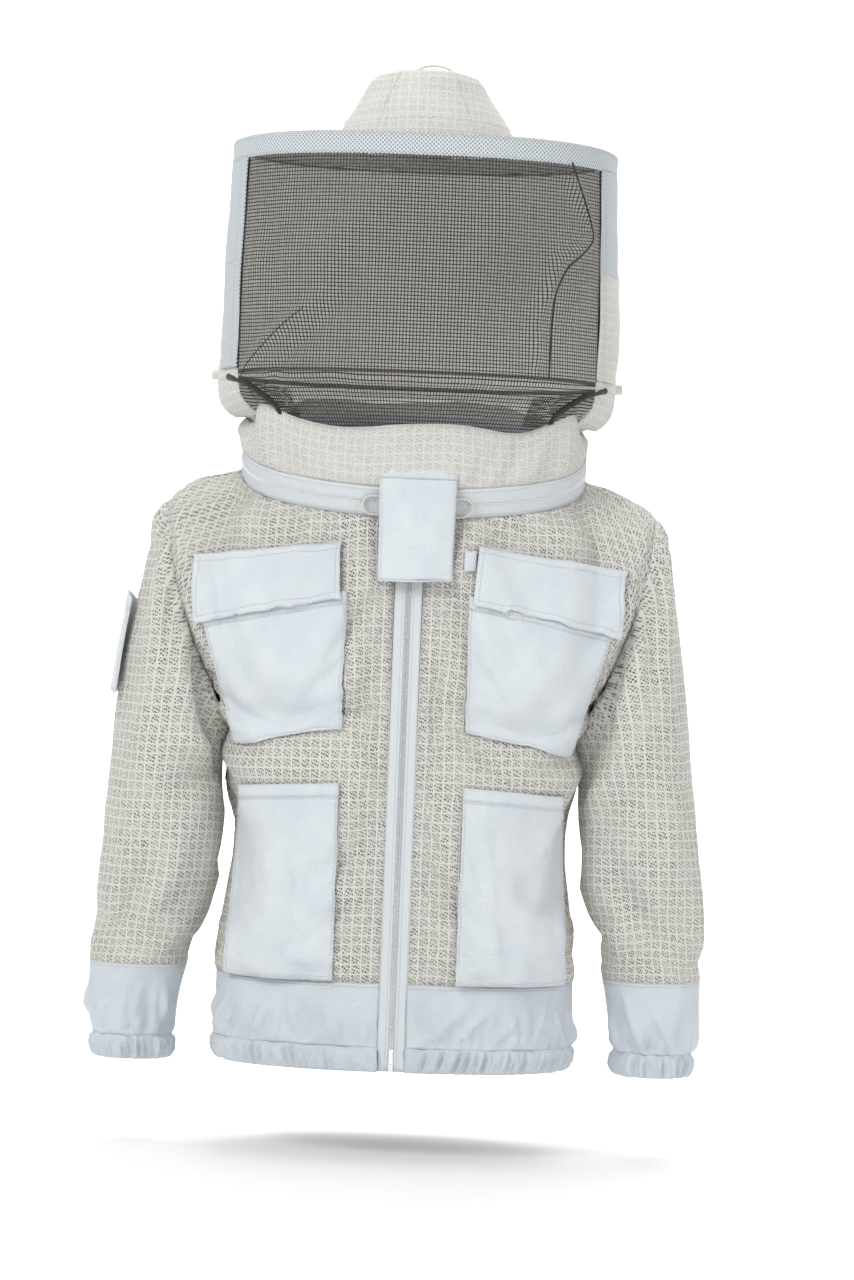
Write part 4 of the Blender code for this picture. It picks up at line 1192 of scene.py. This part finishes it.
def net_of(name, grid, thread, nodes=()):
    """Open net over the grid: one square hole to each of its cells, with flat yarn between."""
    around = corners(numbered(grid))
    points = grid.reshape(-1, 3)
    outer = points[around]
    inner = outer + (outer.mean(axis=2, keepdims=True) - outer) * thread
    own = len(points) + np.arange(around.size).reshape(around.shape)
    faces = []
    for k in range(4):
        after = (k + 1) % 4
        bar = np.stack([around[..., k], around[..., after], own[..., after], own[..., k]], axis=2)
        faces.append(bar.reshape(-1, 4))
    verts = np.concatenate([points, inner.reshape(-1, 3)])
    obj = new_piece(name, verts.tolist(), np.concatenate(faces).tolist(), NET_BLACK, "hood", nodes)
    return obj


def over_hood(start, end, columns, z_at, lines, out=0.0):
    """Rows down the hood between two angles; z_at(share, degrees) gives each height."""
    fine = np.linspace(start, end, 400)
    line = np.array([hood_point(a, HOOP_Z)[:2] for a in fine])
    run = run_along(line)
    degrees = np.interp(np.linspace(0, run[-1], columns), run, fine)
    shares = np.linspace(0, 1, lines)
    return grid_of([[hood_point(a, z_at(share, a), out) for a in degrees] for share in shares])


VEIL_CREASES = (
    ((0.85, 0.05), (0.955, 0.30), 9, 7), ((0.955, 0.30), (0.835, 0.41), 8, 8),
    ((0.835, 0.41), (0.79, 0.6), 8, 8), ((0.79, 0.6), (0.79, 0.8), 8, 7),
    ((0.26, 0.56), (0.02, 0.82), 9, 8), ((0.36, 0.52), (0.1, 0.88), 8, -5),
    ((0.1, 0.0), (0.06, 0.07), 5, 5), ((0.5, 0.1), (0.2, 0.5), 26, 4), ((0.75, 0.1), (0.6, 0.6), 24, 5),
    ((0.35, 0.3), (0.3, 0.8), 20, -4), ((0.1, 0.2), (0.14, 0.6), 16, -4),
    ((0.0, 0.84), (1.0, 0.84), 5, 4),
)


FOLDED_EDGES = {
    "left": (1.4, ((43.3, 339), (50, 298), (56.5, 256), (49, 236), (41.6, 220), (37, 190), (35.9, 160),
                   (35.8, 92))),
    "right": (0.5, ((-29.7, 162), (-38, 142), (-46, 120), (-54, 100), (-60, 87))),
}


def veil():
    """Black square net, about 4 mm from yarn to yarn, with the soft folds it has from being packed."""
    rows, columns = 81, 126

    def height(share, degrees):
        return 357 + (collar_edge(degrees) - 2 - 357) * share

    grid = over_hood(-WINDOW_ANGLE - 1, WINDOW_ANGLE + 1, columns, height, rows, -0.6)
    flat = flat_lay(grid)
    full = folds(grid, flat, VEIL_CREASES)
    wave = noise_over(flat, 0.07, 0.09, 71.0)
    down = np.linspace(0, 1, rows)[:, None]
    full = full + normals(grid) * (wave * 6.0 * np.sin(np.pi * down))[..., None] * MM
    fade = np.clip(np.arange(rows) / 9, 0, 1)[:, None] * np.clip(from_sides(columns) / 6, 0, 1)
    full = grid + (full - grid) * fade[..., None]
    obj = net_of("veil_net_yarn", full, 0.26, ["veil_net"])
    for tail, outer, inner in (("right", -69, -37), ("left", 69, 33)):

        def corner(share, degrees, outer=outer, inner=inner):
            near = (degrees - outer) / (inner - outer)
            return 87 - 16 * near + (40 - 87 + 16 * near) * share

        patch = over_hood(min(outer, inner), max(outer, inner), 34, corner, 13, 3.4)
        wave = noise_over(flat_lay(patch), 0.02, 0.03, 81.0)
        net_of("veil_net_fold_" + tail, patch + normals(patch) * wave[..., None] * 3 * MM, 0.36)
    for tail, (wide, line) in FOLDED_EDGES.items():
        edge = [hood_point(a, z, 4.5) for a, z in line]
        flat_yarn("veil_net_crease_" + tail, edge, wide, 0.6, NET_BLACK)
    for tail, side in (("left", 1), ("right", -1)):
        edge = [hood_point(side * (WINDOW_ANGLE + 0.4), z, 0.8) for z in np.linspace(350, 96, 30)]
        flat_yarn("veil_net_edge_" + tail, edge, 2.4, 0.8, NET_BLACK)


def flat_yarn(name, points, wide, deep, paint, nodes=()):
    """A narrow rolled edge along points in mm on the hood: wide along it, deep out from it."""
    line = np.array(points, float)
    fine = np.linspace(0, len(line) - 1, 6 * len(line))
    line = np.stack([np.interp(fine, np.arange(len(line)), line[:, k]) for k in range(3)], axis=1)
    for _ in range(4):
        line[1:-1] = (line[:-2] + line[2:]) / 2 * 0.5 + line[1:-1] * 0.5
    out = level_out(line)
    across = unit(np.cross(out, unit(np.gradient(line, axis=0))))
    angles = np.linspace(0, 2 * math.pi, 9)[:-1]
    rows = []
    for place, a, o in zip(line, across, out):
        rows.append([place + a * wide * math.cos(t) + o * deep * math.sin(t) for t in angles])
    grid = grid_of(rows)
    return cloth(name, grid, flat_lay(grid, True), paint, "hood", nodes, closed=True, thick=0)


BINDING_LINE = ((71, 87), (65, 84), (58, 79), (52, 67), (47, 55), (46.5, 44))


def bindings():
    """Black cotton binding on the cut edge of the net, from each end of the hoop to the collar."""
    for tail, side in (("left", 1), ("right", -1)):
        points = [hood_point(side * a, z, 5.5) for a, z in BINDING_LINE]
        obj = flat_yarn("veil_binding_cloth_" + tail, points, 4.0, 3.0, BIAS_BLACK, ["veil_binding_" + tail])


def hood_back():
    """The cloth sides and back of the hood, drawn in under the hoop towards the collar."""

    def height(share, degrees):
        return 358 + (collar_edge(degrees) + 1 - 358) * share

    rows, columns = 54, 128
    grid = over_hood(WINDOW_ANGLE + 0.5, 359.5 - WINDOW_ANGLE, columns, height, rows)
    flat = flat_lay(grid)
    creases = (((0.06, 0.45), (0.02, 0.7), 12, 7), ((0.10, 0.3), (0.07, 0.75), 14, 6),
               ((0.92, 0.6), (0.97, 0.8), 12, 4), ((0.3, 0.1), (0.34, 0.7), 20, -5),
               ((0.45, 0.1), (0.4, 0.75), 22, 5), ((0.62, 0.05), (0.66, 0.75), 22, -5),
               ((0.8, 0.1), (0.76, 0.7), 20, 5), ((0.0, 0.81), (1.0, 0.81), 6, 3.5))
    shaped = folds(grid, flat, creases)
    hung = crumple(shaped, held_edges(grid, rows=2), spare=0.03, most=7, bend=4.0)
    below = np.clip((np.linspace(0, 1, rows) - 0.8) / 0.2, 0, 1)[:, None]
    out = normals(grid)
    proud = np.einsum("ijk,ijk->ij", hung - grid, out)
    beside = np.clip(from_sides(columns) / 22, 0, 1) ** 2
    spare = proud - np.minimum(proud, (0.5 + 20 * beside) * MM)
    hung = hung - out * (spare * (1 - below))[..., None]
    ruffle = gathers(grid, flat, 20, 200, 12.0, False) * 7 * below * (1.2 - below)
    ruffle += 13 * np.sin(np.pi * np.clip((HOOP_Z * MM - grid[..., 2]) / (50 * MM), 0, 1))
    hung = hung + out * ruffle[..., None] * MM
    obj = cloth("hood_back_cloth", hung, flat, AIRMESH_THIN, "hood", ["hood_back"], thick=1.6)
    # The inside face takes the painted-light material: lighter, with a faint glow.
    obj.data.materials.append(HOOD_INSIDE_PAINTED_LIGHT)
    obj.modifiers["cloth_thickness"].material_offset = 1
    seams = [[(0.0, 0.78), (1.0, 0.78)], [(0.0, 0.84), (1.0, 0.84)]]
    sewn("hood_back_stitching", hung, seams, "hood", height=0.5)


def band(name, start, end, columns, height, lines, paint, nodes, runs):
    """A band on the outside of the hood between two angles. Thin cloth bulges more than the knit."""
    grid = over_hood(start, end, columns, height, lines, 2.4)
    wave = noise_over(flat_lay(grid), 0.06, 0.06, 91.0) * 1.2
    if paint is AIRMESH_THIN:
        bulge = np.sin(np.linspace(0, np.pi, lines))[:, None] * np.linspace(0.1, 1, columns)
        wave = wave * 2 + 6 * bulge
    grid = grid + normals(grid) * wave[..., None] * MM
    obj = cloth(name, grid, flat_lay(grid), paint, "hood", nodes, outward=True, thick=1.6)
    sewn(name + "_stitching", grid, runs, "hood", height=1.9)


def window_bands():
    """Spacer mesh along the top of the veil and down both its sides. On the wearer's left the
    knit stops half way down, and the hood's own cloth goes on below it."""

    def top(share, degrees):
        sag = 7 * max(0.0, (abs(degrees) - 84) / 14) ** 2
        return 360.5 - sag + (336 - 360.5 + sag * 0.6) * share

    def upper(share, degrees):
        return 337 - (337 - 218) * share

    def lower(share, degrees):
        return 219 - (219 - 97) * share

    edges = [[(0.0, 0.1), (1.0, 0.1)], [(0.15, 0.9), (0.85, 0.9)]]
    band("window_band_cloth_top", -98, 98, 150, top, 9, KNIT, ["window_band_top"], edges)
    seams = [[(0.08, 0.0), (0.08, 1.0)], [(0.9, 0.0), (0.9, 1.0)]]
    left, right = (WINDOW_ANGLE - 0.5, 97), (-97, 0.5 - WINDOW_ANGLE)
    for name, ends, height, paint, nodes in (
        ("cloth_left", left, upper, KNIT, ["window_band_left"]),
        ("plain_left", left, lower, AIRMESH_THIN, []),
        ("cloth_right", right, upper, KNIT, ["window_band_right"]),
        ("lower_right", right, lower, KNIT, []),
    ):
        band("window_band_" + name, *ends, 26, height, 40, paint, nodes, seams)


CROWN_PROFILE = ((449, 50), (446, 59), (438, 66), (422, 75), (399, 90), (369, 108))
CAP_HALVES = (1.5, 8, 16, 24, 32, 40, 47)


def crown_ring(z, half, columns):
    """A ring of the crown, 16 mm longer from middle to front than from middle to side."""
    angles = np.linspace(math.pi, -math.pi, columns + 1)[:-1]
    return [(-half * math.sin(a), HAT_Y - (half + 16) * math.cos(a), z) for a in angles]


def hat():
    """The sun hat sewn into the top of the hood: a brim, a soft crown in panels, and its band."""
    columns, wall_rows = 160, 44
    heights, halves = zip(*CROWN_PROFILE)
    corner = range(len(CROWN_PROFILE))
    places = np.linspace(0, len(CROWN_PROFILE) - 1, wall_rows)
    rows = [crown_ring(np.interp(p, corner, heights), np.interp(p, corner, halves), columns) for p in places]
    cap = [crown_ring(CROWN_TOP + 1.2 * (1 - r / 50), r, columns) for r in CAP_HALVES]
    cap = [[(x, HAT_Y + (y - HAT_Y) * 0.98, z) for x, y, z in ring] for ring in cap]
    grid = grid_of(cap + rows)
    flat = flat_lay(grid, True)
    wall = slice(len(cap), None)
    wave = gathers(grid[wall], flat[wall], 42, 60, 17.0, True)
    belly = np.sin(np.pi * np.linspace(0, 1, wall_rows)[:, None]).clip(0) ** 0.6
    full = grid.copy()
    full[wall] += normals(grid, True)[wall] * (wave * 3.4 * belly)[..., None] * MM
    obj = cloth("hat_crown_cloth", full, flat, AIRMESH_THIN, "hood", ["hat_crown"], closed=True, thick=1.8)
    seams = [[(share, 0.15), (share, 1.0)] for share in (0.09, 0.25, 0.41, 0.59, 0.75, 0.91)]
    seams += [[(0.0, share), (1.0, share)] for share in (0.16, 0.97)]
    sewn("hat_crown_seams", full, seams, "hood", closed=True)
    inner = crown_ring(368, 107, columns)
    edge = []
    for x, y, _ in inner:
        degrees = math.degrees(math.atan2(x, HAT_Y - y))
        edge.append(hood_point(degrees, 361)[:2] + (BRIM_Z,))
    spokes = [(Vector(p), Vector(q)) for p, q in zip(inner, edge)]
    grid = grid_of([[p.lerp(q, share) for p, q in spokes] for share in np.linspace(0, 1, 16)])
    obj = cloth("hat_brim_cloth", grid, flat_lay(grid, True), AIRMESH_THIN, "hood", ["hat_brim"],
                closed=True, thick=2.2)
    rings = [[(0.0, share), (1.0, share)] for share in (0.2, 0.4, 0.6, 0.8, 0.95)]
    sewn("hat_brim_stitching", grid, rings, "hood", closed=True)
    grid = grid_of([crown_ring(z, 97, columns) for z in (392, 385, 379, 372)])
    cloth("hat_sweatband_cloth", grid, flat_lay(grid, True), ELASTIC_WHITE, "hood", ["hat_sweatband"],
          closed=True)


def throat_flap():
    """The flap that covers the gap where the two neck zips meet, hemmed and sewn at its top."""
    drops, depths = (13, 24, 50, 90, 141), (-154.2, -160, -163, -163, -161)
    rows = []
    for z in np.linspace(-13, -141, 46):
        y = np.interp(-z, drops, depths)
        pinch = 2.5 * (-13 - z) / 128
        rows.append([(x, y + (x - 6) ** 2 / 560, z) for x in np.linspace(-38 + pinch, 51 - pinch, 34)])
    grid = grid_of(rows)
    flat = flat_lay(grid)
    shaped = folds(grid, flat, (((0.2, 0.15), (0.6, 0.8), 12, 2.2), ((0.8, 0.2), (0.7, 0.95), 12, 2.4),
                                ((0.1, 0.5), (0.4, 0.9), 10, -1.8)))
    hung = crumple(shaped, held_edges(grid, columns=0), spare=0.02, most=3.0, bend=5.0)
    obj = cloth("throat_flap_cloth", hung, flat, TWILL, "collar_flap", ["throat_flap"], thick=1.5)
    turned_hem("throat_flap_hem", hung, 5, "collar_flap")
    runs = [[(0.03, 0.02), (0.03, 0.975), (0.97, 0.975), (0.97, 0.02)], [(0.0, 0.085), (1.0, 0.085)]]
    sewn("throat_flap_stitching", hung, runs, "collar_flap", height=1.7)


# ---------------------------------------------------------------- the whole jacket

camera()
studio()
floor()
pull_loop("left", 1, 52)
pull_loop("right", -1, 38)
hat_loop()
moulded_parts()
front_zip()
neck_zip()
hat()
window_bands()
veil()
bindings()
hood_back()
collar()
throat_flap()
for tail, side in (("left", 1), ("right", -1)):
    panel = front_panel(tail, side)
    sleeve(tail, side)
    cuff(tail, side)
    pockets(tail, side, panel)
    front_edge(tail, side, panel)
    armhole_seam(tail, side, panel)
back_panel()
sleeve_pocket()
waistband()
hem()
elastics()

bpy.context.view_layer.update()
